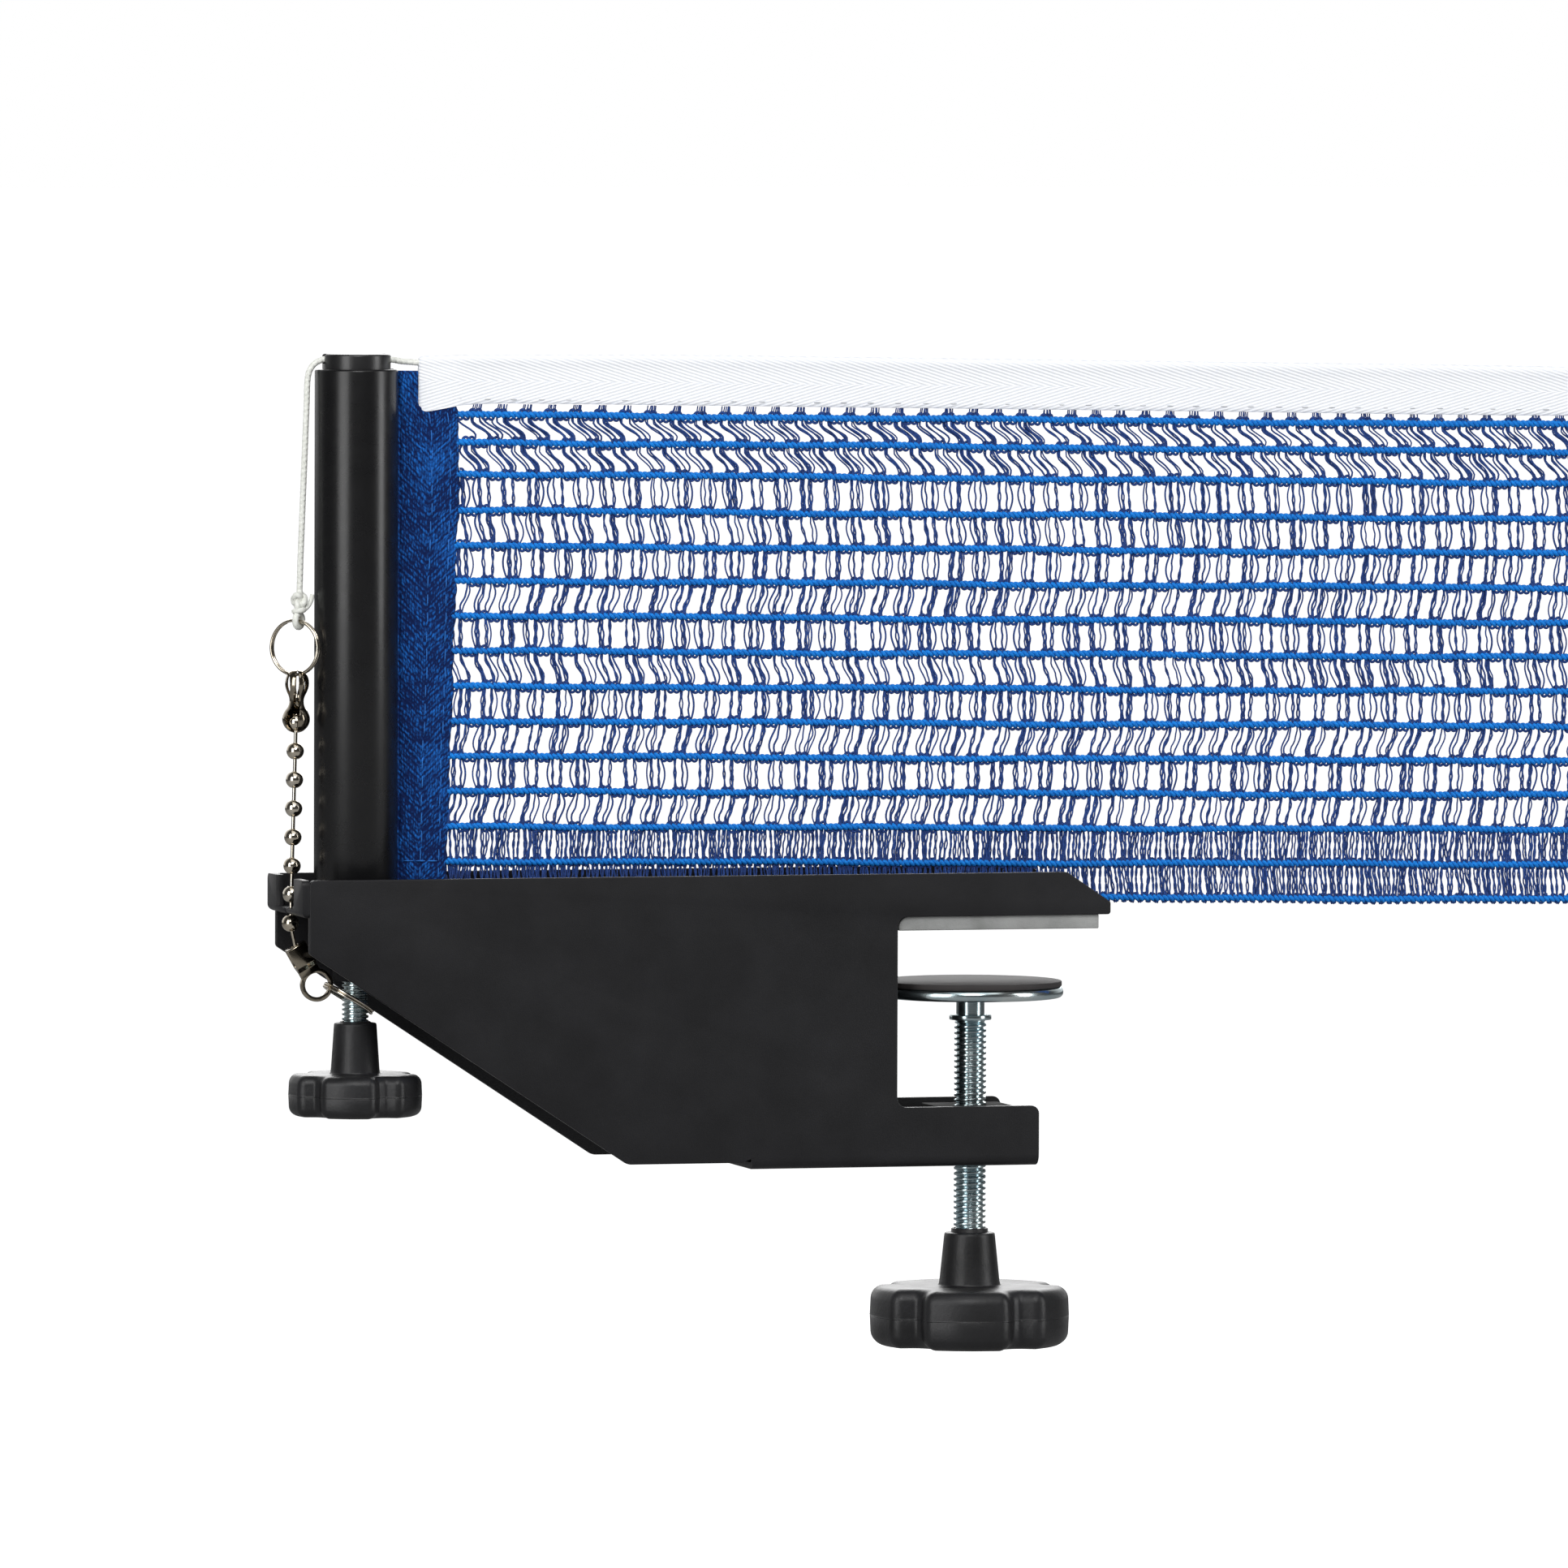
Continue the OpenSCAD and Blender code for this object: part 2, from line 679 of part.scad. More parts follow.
module post_bridge_lower() {
    color("#1d1d1f") 
        bridge(lower_bridge_z, height_screw_d + 2 * pass_gap, post_d / 2 + 0.2);
}

module post_tube() {
    color("#161617") on_post() difference() {
        rotate_extrude() polygon(rounded([
            [post_bore / 2, lower_bridge_z, 0],
            [post_d / 2, lower_bridge_z, 0],
            [post_d / 2, post_top, 0.6],
            [post_bore / 2, post_top, 0.4]
        ]));
        translate([0, -post_slot_w / 2, slot_start]) cube([post_d, post_slot_w, post_top]);
    }
}

// Cap of the lifting rod; the tension cord runs in the groove across its top
module post_cap() {
    color("#1a1a1b") on_post() difference() {
        rotate_extrude() polygon(rounded([
            [0, cap_under_z, 0],
            [cap_d / 2, cap_under_z, 0.5],
            [cap_d / 2, cap_top_z, 0.6],
            [0, cap_top_z, 0]
        ]));
        translate([-cap_d, -groove_w / 2, cap_top_z - groove_depth])
            cube([2 * cap_d, groove_w, groove_depth + 1]);
    }
}

module lift_rod() {
    foot_z = height_tip_z + face_play;
    color("#3a3b3d") on_post() translate([0, 0, foot_z]) {
        cylinder(d = lift_rod_d, h = cap_under_z - foot_z);
        translate([0, 0, lower_bridge_z + lower_travel + pass_gap - foot_z])
            cylinder(d = post_bore - 4 * run_fit, h = guide_h);
    }
}

module height_nut() {
    color("#b9c0c4") on_post() translate([0, 0, lower_bridge_z - bridge_t - height_nut_h])
        difference() {
            rotate([0, 0, 30]) cylinder(d = height_nut_w / cos(30), h = height_nut_h, $fn = 6);
            translate([0, 0, -1])
                cylinder(d = height_screw_d + 2 * run_fit, h = height_nut_h + 2);
        }
}

module height_screw() {
    color("#c3ccd0") on_post() translate([0, 0, height_knob_z - height_screw_seat])
        cylinder(d = height_screw_d, h = height_screw_free + height_screw_seat);
}

// ---- Net ----

// The net's own frame: origin on the post's axis, drooping towards the table's middle
module in_net() {
    on_post() multmatrix([[1, 0, 0, 0], [0, 1, 0, 0], [-droop, 0, 1, 0], [0, 0, 0, 1]])
        children();
}

function drooped(pts) = [for (p = pts) [p[0] + post_x, p[1] - droop * p[0]]];

// Flat part of the hem outside the post, which stops under the tape
module hem_outline() {
    polygon(drooped([
        [post_d / 2 + 0.2, hem_foot],
        [hem_out - hem_taper, hem_foot],
        [hem_out, tape_low],
        [tape_start, tape_low],
        [tape_start, post_top - 0.5],
        [post_d / 2 + 0.2, post_top - 0.5]
    ]));
}

module net_hem() {
    loop_h = hem_loop_top - hem_foot;
    color("#1b3f8f") {
        across(-hem_t / 2, hem_t / 2) hem_outline();
        difference() {
            union() {
                on_post() translate([hem_rod_x, 0, hem_foot])
                    cylinder(d = hem_loop_d, h = loop_h, $fn = 32);
                on_post() translate([hem_rod_x, -hem_t / 2, hem_foot])
                    cube([post_d / 2 + 0.3 - hem_rod_x, hem_t, loop_h]);
            }
            on_post() translate([hem_rod_x, 0, hem_foot - 1])
                cylinder(d = hem_rod_d, h = loop_h + 2, $fn = 32);
        }
    }
}

module hem_rod() {
    color("#8a8d90") on_post() translate([hem_rod_x, 0, hem_foot])
        cylinder(d = hem_rod_d, h = hem_loop_top - hem_foot, $fn = 32);
}

// Flat net: horizontal cords, upright strands and square gaps
module net_mesh() {
    gap_w = (net_end - hem_out) / strand_gaps;
    low_z = row_z[row_count - 1];
    color("#1565c0") across(-row_d / 2, row_d / 2) difference() {
        union() {
            for (z = row_z) polygon(drooped([
                [net_start, z - row_d / 2], [net_end, z - row_d / 2],
                [net_end, z + row_d / 2], [net_start, z + row_d / 2]
            ]));
            for (i = [1 : strand_gaps - 1])
                let (x = hem_out + i * gap_w)
                polygon(drooped([
                    [x - strand_w / 2, low_z], [x + strand_w / 2, low_z],
                    [x + strand_w / 2, tape_low], [x - strand_w / 2, tape_low]
                ]));
        }
        hem_outline();
    }
}

// White tape, folded over the net's top with a round bead over the cord inside
module net_tape() {
    section = rounded([
        [-tape_t / 2, tape_low, 0.4], [tape_t / 2, tape_low, 0.4],
        [tape_t / 2, tape_top, tape_t * 0.45], [-tape_t / 2, tape_top, tape_t * 0.45]
    ]);
    color("#f4f4f4") intersection() {
        across(-tape_t, tape_t) polygon(drooped([
            [tape_start, tape_low], [tape_end, tape_low],
            [tape_end, tape_top], [tape_start, tape_top]
        ]));
        on_post() rotate([0, atan(droop), 0]) translate([-1, 0, 0])
            along(0, tape_end + 10) polygon(section);
    }
}

module net_hem_far() {
    color("#1b3f8f") across(-hem_t / 2, hem_t / 2) polygon(drooped([
        [net_end, hem_foot], [net_end + far_hem_w, hem_foot],
        [net_end + far_hem_w, tape_low], [net_end, tape_low]
    ]));
}

// The cord's far end: it leaves the tape, is knotted and ends in a loop
module far_loop() {
    reach = 12;
    loop_r = 5;
    color("#f2f2ee") on_post()
        translate([tape_end, 0, tape_top - cord_d - droop * tape_end]) {
            rotate([0, 90, 0]) cylinder(d = cord_d, h = reach, $fn = 16);
            translate([reach, 0, 0]) sphere(d = 3 * cord_d, $fn = 24);
            translate([reach + loop_r, 0, 0]) rotate([90, 0, 0]) torus(loop_r, cord_d);
        }
}

// ---- Tension cord and chain ----

// Tube with 8 sides along points in a plane
module tube_along(pts, d, sides = 8) {
    n = len(pts);
    tangents = [for (i = [0 : n - 1]) unit(pts[min(i + 1, n - 1)] - pts[max(i - 1, 0)])];
    ring_points = [for (i = [0 : n - 1], k = [0 : sides - 1])
        let (
            a = 360 * k / sides,
            normal = [-tangents[i][1], tangents[i][0]],
            p = pts[i] + normal * (d / 2 * cos(a))
        )
        [p[0], d / 2 * sin(a), p[1]]];
    walls = [for (i = [0 : n - 2], k = [0 : sides - 1])
        each let (a = i * sides + k, b = i * sides + (k + 1) % sides)
            [[a, b, a + sides], [b, b + sides, a + sides]]];
    first = [for (k = [sides - 1 : -1 : 0]) k];
    last = [for (k = [0 : sides - 1]) (n - 1) * sides + k];
    polyhedron(points = ring_points, faces = [first, last, each walls]);
}

module tension_cord() {
    color("#f2f2ee") on_post() tube_along(cord_route, cord_d);
}

// Stopper knot whose loop goes round the upper ring
module cord_knot() {
    color("#e6e8e2") on_chain() {
        translate([0, 0, knot_foot]) rotate_extrude() polygon(rounded([
            [0, 0, 0], [1.9, 0, 0.8], [2.3, 4, 1], [1, 6.2, 0], [0, 6.2, 0]
        ]));
        translate([0, 0, knot_z]) rotate([90, 0, 90 + upper_ring_turn])
            torus(knot_loop_r, cord_d);
    }
}

module upper_ring() {
    color("#c9b89a") on_upper_ring() split_ring(upper_ring_r);
}

// Half section of a figure of eight, drawn inwards by a margin
module eight_section(margin) {
    translate([0, lower_bulb]) circle(r = bulb_r - margin);
    translate([0, upper_bulb]) circle(r = ring_bulb_r - margin);
    translate([0, lower_bulb]) square([bulb_r * 0.5 - margin, bulb_gap]);
}

// Sheet folded to a figure of eight round the ball below and the ring above,
// with a long slit in the ring's plane and windows between its straps
module upper_coupling() {
    low = lower_bulb - bulb_r;
    slit_w = ring_wire + 1;
    window_w = 1.5;
    window_h = ring_bulb_r * 0.95;
    color("#b7a88c") difference() {
        on_chain() difference() {
            rotate_extrude() intersection() {
                translate([0, low]) square([bulb_r + 1, coupling_h]);
                difference() {
                    eight_section(0);
                    eight_section(shell_t);
                }
            }
            translate([0, 0, low - 1]) cylinder(d = link_hole_d, h = bulb_r);
            rotate([0, 0, upper_ring_turn])
                translate([-bulb_r - 1, -slit_w / 2, lower_bulb - 1.6])
                    cube([2 * bulb_r + 2, slit_w, bulb_gap + 2.4]);
            for (a = [212, 265], z = [lower_bulb, upper_bulb]) rotate([0, 0, a])
                translate([0, -window_w / 2, z - window_h / 2])
                    cube([bulb_r + 1, window_w, window_h]);
        }
        on_upper_ring() torus(upper_ring_r, ring_step + ring_wire + 0.4);
    }
}

module hollow_ball() {
    rotate_extrude() intersection() {
        difference() {
            circle(r = ball_r);
            circle(r = ball_r - ball_wall);
            translate([-1, -ball_d]) square([1 + link_hole_d / 2, 2 * ball_d]);
        }
        translate([0, -ball_d]) square([ball_d, 2 * ball_d]);
    }
}

module chain_balls() {
    color("#c9b89a") on_chain() for (i = [0 : ball_count - 1])
        translate([0, 0, first_ball + i * ball_pitch])
            rotate([0, i == 0 ? first_ball_turn : 0, 0]) hollow_ball();
}

// Dumb-bell link between two centres; its flat heads are wider than the holes
module link(length) {
    head_d = link_hole_d + 0.3;
    translate([0, 0, head_start])
        cylinder(d = link_d, h = length - 2 * head_start, $fn = 24);
    translate([0, 0, head_start]) cylinder(d = head_d, h = link_head_t, $fn = 24);
    translate([0, 0, length - head_start - link_head_t])
        cylinder(d = head_d, h = link_head_t, $fn = 24);
}

module chain_links() {
    color("#d8cbb0") {
        on_chain() for (i = [0 : ball_count - 2])
            translate([0, 0, first_ball + i * ball_pitch]) link(ball_pitch);
        translate([ball_at[0], 0, ball_at[1]])
            rotate([0, 180 - low_link_lean, 0]) link(low_link_len);
    }
}

// Strap folded to a box round the lowest link's head, with a flat eye for the ring
module lower_coupling() {
    in_w = clasp_depth / 2 - strap_t;
    color("#b7a88c") translate([eye_x, 0, eye_z]) rotate([0, -clasp_lean, 0])
        difference() {
            union() {
                along(-strap_w / 2, strap_w / 2) polygon(rounded([
                    [-eye_t / 2, 0, 0],
                    [eye_t / 2, 0, 0],
                    [eye_t / 2, clasp_foot - 1.4, 0.5],
                    [clasp_depth / 2, clasp_foot, 0.5],
                    [clasp_depth / 2, clasp_top, 0.5],
                    [-clasp_depth / 2, clasp_top, 0.5],
                    [-clasp_depth / 2, clasp_foot, 0.5],
                    [-eye_t / 2, clasp_foot - 1.4, 0.5]
                ], 3));
                translate([0, eye_t / 2, 0]) rotate([90, 0, 0])
                    cylinder(d = eye_d, h = eye_t);
            }
            translate([-strap_w, -in_w, clasp_foot + strap_t])
                cube([2 * strap_w, 2 * in_w, clasp_top - clasp_foot - 2 * strap_t]);
            translate([0, eye_t, 0]) rotate([90, 0, 0])
                cylinder(d = eye_hole_d, h = 2 * eye_t);
            translate([-link_hole_d / 2, -link_hole_d / 2, clasp_top - 1])
                cube([link_hole_d, link_hole_d, 2]);
        }
}

module lower_ring() {
    color("#c9b89a") translate([lower_ring_x, 0, lower_ring_z])
        rotate([0, lower_ring_tilt, 0]) split_ring(lower_ring_r);
}

bracket();
jaw_plate();
jaw_pad();
chain_hook();
clamp_nut();
clamp_screw();
disc_clip();
clamp_knob();
pressure_disc();
disc_pad();
post_bridge_upper();
post_bridge_lower();
post_tube();
post_cap();
lift_rod();
height_nut();
height_screw();
height_knob();
hem_rod();
net_hem();
net_mesh();
net_tape();
net_hem_far();
far_loop();
tension_cord();
cord_knot();
upper_ring();
upper_coupling();
chain_balls();
chain_links();
lower_coupling();
lower_ring();
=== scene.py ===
"""Looks of the table tennis net clamp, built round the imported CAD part."""

import json
import math

import bmesh
import bpy
import numpy as np
from mathutils import Matrix, Vector

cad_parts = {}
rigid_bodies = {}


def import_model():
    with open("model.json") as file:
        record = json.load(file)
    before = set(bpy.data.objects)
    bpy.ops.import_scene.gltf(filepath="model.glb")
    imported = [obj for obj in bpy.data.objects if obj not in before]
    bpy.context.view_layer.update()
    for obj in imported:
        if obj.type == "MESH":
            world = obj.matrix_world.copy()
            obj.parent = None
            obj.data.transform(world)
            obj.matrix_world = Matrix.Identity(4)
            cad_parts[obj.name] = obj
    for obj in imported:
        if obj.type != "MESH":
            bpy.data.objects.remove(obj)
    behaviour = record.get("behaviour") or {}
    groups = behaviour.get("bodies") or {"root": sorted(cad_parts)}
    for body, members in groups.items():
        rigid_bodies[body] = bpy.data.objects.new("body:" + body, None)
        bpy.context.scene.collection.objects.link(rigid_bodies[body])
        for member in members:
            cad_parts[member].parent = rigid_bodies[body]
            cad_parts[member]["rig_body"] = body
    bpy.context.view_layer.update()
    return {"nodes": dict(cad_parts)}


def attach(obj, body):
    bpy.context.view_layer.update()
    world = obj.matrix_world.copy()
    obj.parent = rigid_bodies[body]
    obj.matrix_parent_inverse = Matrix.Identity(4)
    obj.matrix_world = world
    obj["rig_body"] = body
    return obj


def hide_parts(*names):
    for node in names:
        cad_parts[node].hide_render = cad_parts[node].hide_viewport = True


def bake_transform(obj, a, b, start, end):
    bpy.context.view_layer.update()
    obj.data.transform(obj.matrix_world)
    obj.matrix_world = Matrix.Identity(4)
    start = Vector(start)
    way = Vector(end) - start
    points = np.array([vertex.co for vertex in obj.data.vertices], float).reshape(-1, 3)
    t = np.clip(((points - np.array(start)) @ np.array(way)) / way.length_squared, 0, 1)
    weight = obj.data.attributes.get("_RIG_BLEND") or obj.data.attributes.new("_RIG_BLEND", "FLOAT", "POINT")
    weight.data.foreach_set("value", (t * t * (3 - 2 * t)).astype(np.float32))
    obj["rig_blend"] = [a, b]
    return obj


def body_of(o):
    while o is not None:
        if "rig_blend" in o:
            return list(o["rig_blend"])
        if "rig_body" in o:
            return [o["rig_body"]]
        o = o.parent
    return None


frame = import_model()
rng = np.random.default_rng(7)
MM = 0.001

# ---- camera

AZIMUTH, ELEVATION, ROLL = -15.0, 2.85, 0.18
DISTANCE = 4.5
PX_PER_MM = 4.65
LOOK_AT = Vector((-0.0540, 0.0, 0.0382))
PHOTO_PX, SENSOR = 1932, 36


def direction(azimuth, elevation):
    """From the part to a camera or lamp; azimuth 0 is the photograph's side, -Y."""
    a, e = math.radians(azimuth), math.radians(elevation)
    return Vector((math.sin(a) * math.cos(e), -math.cos(a) * math.cos(e), math.sin(e)))


def facing(target, side, distance):
    """The matrix of a camera or lamp that looks at the target from that side."""
    turned_back = side.to_track_quat("Z", "Y").to_matrix().to_4x4()
    return Matrix.Translation(target + side * distance) @ turned_back


def add_object(name, data):
    obj = bpy.data.objects.new(name, data)
    bpy.context.scene.collection.objects.link(obj)
    return obj


cam_data = bpy.data.cameras.new("camera")
cam_data.sensor_width = SENSOR
cam_data.lens = PX_PER_MM * DISTANCE * 1000 * SENSOR / PHOTO_PX
cam_data.clip_end = 200
camera = add_object("camera", cam_data)
aim = facing(LOOK_AT, direction(AZIMUTH, ELEVATION), DISTANCE)
camera.matrix_world = aim @ Matrix.Rotation(math.radians(ROLL), 4, "Z")
bpy.context.scene.camera = camera

# ---- sizes, in mm, as in part.scad

POST_X, SCREW_X = -170.7, -2.5
PAD_T, SHEET_T, NOSE_X = 3.75, 2, 30.5
DROOP = 0.0135
TAPE_TOP, TAPE_H = 152.2, 12.9
TAPE_LOW = TAPE_TOP - TAPE_H
HEM_OUT, HEM_TAPER, HEM_FOOT = 28.0, 4.0, 8.0
NET_END, FAR_HEM = HEM_OUT + 317.5, 14.0
TAPE_START, TAPE_END = 16.7, NET_END + FAR_HEM - 2
ROW_R, ROW_COUNT, UPPER_PITCH, FIRST_DROP, NET_CLEAR = 0.95, 15, 8.1, 2.2, 0.4
THIRD_ROW = TAPE_LOW - FIRST_DROP - 2 * UPPER_PITCH
LOW_ROW = PAD_T + SHEET_T + NET_CLEAR + ROW_R + DROOP * (NOSE_X - SHEET_T - POST_X)
ROWS = [
    THIRD_ROW + (2 - i) * UPPER_PITCH
    if i < 3
    else THIRD_ROW + (LOW_ROW - THIRD_ROW) * (i - 2) / (ROW_COUNT - 3)
    for i in range(ROW_COUNT)
]
# the photograph's first rows are less even than the CAD's
for i, shift in enumerate((-0.2, 0.6, 0.35)):
    ROWS[i] += shift
CHAIN_OUT, CHAIN_LEAN, HOOK_UNDER = 17.5, math.radians(1.5), 5.2
BALL_R, BALL_PITCH, BALLS = 2.3, 7.55, 8
UPPER_RING_R, UPPER_RING_TURN, UPPER_RING_SLIP = 7.15, math.radians(-45), -0.93
UPPER_RING_Z = 70.2
RING_WIRE_R, RING_HALF_STEP, CORD_R = 0.4, 0.36, 0.85
KNOT_Z = UPPER_RING_Z + UPPER_RING_R
KNOT_LOOP_R = RING_WIRE_R + RING_HALF_STEP + 0.1 + CORD_R
KNOT_FOOT = KNOT_Z + KNOT_LOOP_R - 0.3
KNOT_TOP = KNOT_FOOT + 6.2
POST_TOP = 148.6
# lines of stitching, inward from a hem's free edge
SEAMS = 2.6, 7.6


def chain_point(s, x=0.0, y=0.0):
    """A point of the chain's own frame in the part's frame."""
    c, n = math.cos(CHAIN_LEAN), math.sin(CHAIN_LEAN)
    return np.array([POST_X - CHAIN_OUT + s * n + x * c, y, HOOK_UNDER + s * c - x * n])


# ---- materials


def add_node(tree, kind, **inputs):
    """A shader node with its settings and inputs, by name or as i0, i1...; outputs are linked."""
    node = tree.nodes.new("ShaderNode" + kind)
    for key, value in inputs.items():
        if key in ("operation", "data_type"):
            setattr(node, key, value)
            continue
        socket = node.inputs[int(key[1:]) if key[1:].isdigit() else key]
        if isinstance(value, bpy.types.NodeSocket):
            tree.links.new(value, socket)
        else:
            socket.default_value = value
    return node


def map_range(tree, value, *limits):
    """A value moved from one range to another: from low, from high, to low, to high."""
    numbered = {f"i{1 + k}": limit for k, limit in enumerate(limits)}
    return add_node(tree, "MapRange", Value=value, **numbered).outputs[0]


class Look:
    """A material with short ways to add the nodes that each look is made of."""

    def __init__(self, name, **sockets):
        self.material = bpy.data.materials.new(name)
        self.material.use_nodes = True
        self.tree = self.material.node_tree
        self.shader = self.tree.nodes["Principled BSDF"]
        for key, value in sockets.items():
            self.shader.inputs[key.replace("_", " ")].default_value = value
        self.point = add_node(self.tree, "TexCoord").outputs["Object"]
        split = add_node(self.tree, "SeparateXYZ", Vector=self.point)
        self.x, self.y, self.z = split.outputs

    def math(self, operation, a, b=0.0, c=0.0):
        return add_node(self.tree, "Math", operation=operation, i0=a, i1=b, i2=c).outputs[0]

    def scaled(self, value, by, plus=0.0):
        """The value times by, plus a term; each is a number or an output."""
        return self.math("MULTIPLY_ADD", value, by, plus)

    def noise(self, scale, detail=3.0, roughness=0.55, point=None):
        node = add_node(
            self.tree, "TexNoise",
            Vector=point or self.point, Scale=scale, Detail=detail, Roughness=roughness,
        )
        return node.outputs[0]

    def remap(self, value, low, high, to_low=0.0, to_high=1.0):
        return map_range(self.tree, value, low, high, to_low, to_high)

    def color(self, share, a, b):
        """Gives the surface colour a, and b where the share is 1."""
        ends = {"i6": (*a, 1.0), "i7": (*b, 1.0)}
        node = add_node(self.tree, "Mix", data_type="RGBA", i0=share, **ends)
        self.tree.links.new(node.outputs[2], self.shader.inputs["Base Color"])

    def rough(self, socket):
        self.tree.links.new(socket, self.shader.inputs["Roughness"])

    def bump(self, height, strength, distance):
        node = add_node(self.tree, "Bump", Height=height, Strength=strength, Distance=distance)
        self.tree.links.new(node.outputs[0], self.shader.inputs["Normal"])


def coated(name, base, mottle_and_shade, rough, grain, bump, metallic=0.0, spread=0.08, specular=0.5):
    """Painted, plated or moulded surface with fine grain and slight blotches."""
    look = Look(name, Metallic=metallic, Specular_IOR_Level=specular)
    blotch = look.noise(55.0, 4.0)
    fine = look.noise(grain, 2.0, 0.6)
    look.color(look.remap(blotch, 0.35, 0.7), base, mottle_and_shade)
    look.rough(look.scaled(look.noise(140.0, 5.0), spread, rough - spread / 2))
    look.bump(fine, bump, 0.0002)
    return look.material


def turned(name, base, other, rough, pitch):
    """Plated steel with the fine rings that turning leaves, round the screw's axis."""
    look = Look(name, Metallic=1.0)
    dx = look.math("SUBTRACT", look.x, SCREW_X * MM)
    radius = look.math("SQRT", look.scaled(dx, dx, look.scaled(look.y, look.y)))
    line = look.math("ADD", radius, look.z)
    rings = look.math("SINE", look.scaled(line, 2 * math.pi / pitch))
    patches = look.noise(90.0, 5.0)
    look.color(look.remap(patches, 0.3, 0.75), base, other)
    look.rough(look.scaled(look.noise(260.0, 4.0), 0.12, rough - 0.06))
    look.bump(look.scaled(look.noise(1400.0), 0.5, rings), 0.03, 0.00005)
    return look.material


def chevron(name, foot_x, slope):
    """Woven hem: ribs that run down to a seam from both sides, in single dotted yarns."""
    # the navy yarn from painted shade (dark) to painted highlight (light)
    dark, light = (0.003, 0.012, 0.07), (0.014, 0.17, 0.66)
    pitch, steep = 0.0017, 0.9
    look = Look(name, Roughness=0.85, Sheen_Weight=0.04, Sheen_Roughness=0.4, Specular_IOR_Level=0.12)
    middle = look.scaled(look.z, slope, foot_x)
    off = look.math("ABSOLUTE", look.math("SUBTRACT", look.x, middle))
    off = look.scaled(look.noise(260.0), pitch * 1.2, off)
    line = look.scaled(off, -steep, look.z)
    rib = look.math("SINE", look.scaled(line, 2 * math.pi / pitch))
    grid = add_node(
        look.tree, "CombineXYZ",
        X=off, Y=look.scaled(look.y, 0.3), Z=look.scaled(line, 0.62),
    )
    cell = add_node(
        look.tree, "TexVoronoi", Vector=grid.outputs[0], Scale=1350.0, Randomness=0.4
    )
    dot = look.remap(cell.outputs["Distance"], 0.15, 0.62, 1.0, 0.0)
    yarn = look.noise(1900.0, 2.0)
    slow = look.noise(75.0, 3.0)
    height = look.scaled(rib, 0.12, dot)
    # painted light: the colour is lighter where the dots and ribs stand up, with painted shade in yarn-sized
    # and in slow blotches
    mottle_and_shade = look.scaled(yarn, 0.3, look.scaled(slow, 0.5))
    pick = look.scaled(height, 0.5, mottle_and_shade)
    look.color(look.remap(pick, 0.40, 0.92), dark, light)
    look.bump(look.scaled(yarn, 0.25, height), 0.8, 0.0004)
    return look.material


def herringbone(name, base, shade):
    """White tape whose ribs meet in a point along its middle."""
    look = Look(name, Roughness=0.8, Sheen_Weight=0.2, Sheen_Roughness=0.5, Specular_IOR_Level=0.25)
    drop = look.scaled(look.x, DROOP, look.z)
    middle = (TAPE_TOP - TAPE_H * 0.5 + DROOP * POST_X) * MM
    off = look.math("ABSOLUTE", look.math("SUBTRACT", drop, middle))
    phase = look.scaled(look.x, 0.3, off)
    phase = look.scaled(look.noise(500.0), 0.0002, phase)
    rib_pitch = 0.00088
    rib = look.math("SINE", look.scaled(phase, 2 * math.pi / rib_pitch))
    finer = add_node(look.tree, "Mapping", Vector=look.point, Scale=(900, 2500, 2800))
    yarn = look.noise(1.0, 2.0, 0.6, finer.outputs[0])
    look.color(look.remap(look.scaled(rib, 0.3, yarn), 0.1, 0.7), shade, base)
    look.bump(look.scaled(yarn, 0.6, rib), 0.35, 0.00018)
    return look.material


def spun(name, dark, light, scale, sheen=0.2):
    """Cord or thread: fine fibres and a change of tone along the strand."""
    look = Look(name, Roughness=0.7, Sheen_Weight=sheen, Sheen_Roughness=0.4, Specular_IOR_Level=0.3)
    fibre = look.noise(scale, 4.0, 0.65)
    slow = look.noise(180.0, 2.0)
    look.color(look.remap(look.scaled(slow, 0.4, fibre), 0.4, 1.0), dark, light)
    look.bump(fibre, 0.5, 0.0002)
    return look.material


M_COAT = coated(
    "powder_coat", (0.0075, 0.0075, 0.0085), (0.012, 0.012, 0.0135),
    rough=0.46, grain=2600.0, bump=0.16, specular=0.3,
)
M_POST = coated(
    "post_paint", (0.0045, 0.0045, 0.005), (0.007, 0.007, 0.0075),
    rough=0.28, grain=900.0, bump=0.05, spread=0.12, specular=0.4,
)
M_CAP = coated(
    "cap_plastic", (0.010, 0.010, 0.0105), (0.016, 0.016, 0.017),
    rough=0.32, grain=1300.0, bump=0.1, spread=0.14,
)
M_KNOB = coated(
    "knob_plastic", (0.008, 0.008, 0.0085), (0.019, 0.019, 0.021),
    rough=0.42, grain=1100.0, bump=0.3, spread=0.2, specular=0.35,
)
M_PAD = coated("pad_foam", (0.19, 0.195, 0.19), (0.33, 0.335, 0.33), rough=0.8, grain=900.0, bump=0.6)
M_RUBBER = coated(
    "disc_rubber", (0.018, 0.015, 0.015), (0.028, 0.024, 0.024), rough=0.7, grain=2600.0, bump=0.3
)
# painted shade: the weld nuts, which sit in the bracket's shade, are drawn near black and dull in place of
# their zinc
M_NUT_SHADE = coated(
    "nut_painted_shade", (0.007, 0.007, 0.0075), (0.013, 0.013, 0.014),
    rough=0.86, grain=900.0, bump=0.3, spread=0.1, specular=0.12,
)
M_ZINC = turned("zinc_plate", (0.40, 0.53, 0.58), (0.68, 0.73, 0.72), rough=0.2, pitch=0.0006)
M_NICKEL = coated(
    "nickel_plate", (0.60, 0.53, 0.42), (0.74, 0.69, 0.60),
    rough=0.12, grain=1200.0, bump=0.02, metallic=1.0,
)
M_COUPLING = coated(
    "coupling_nickel", (0.30, 0.26, 0.20), (0.44, 0.39, 0.31),
    rough=0.13, grain=1200.0, bump=0.02, metallic=1.0,
)
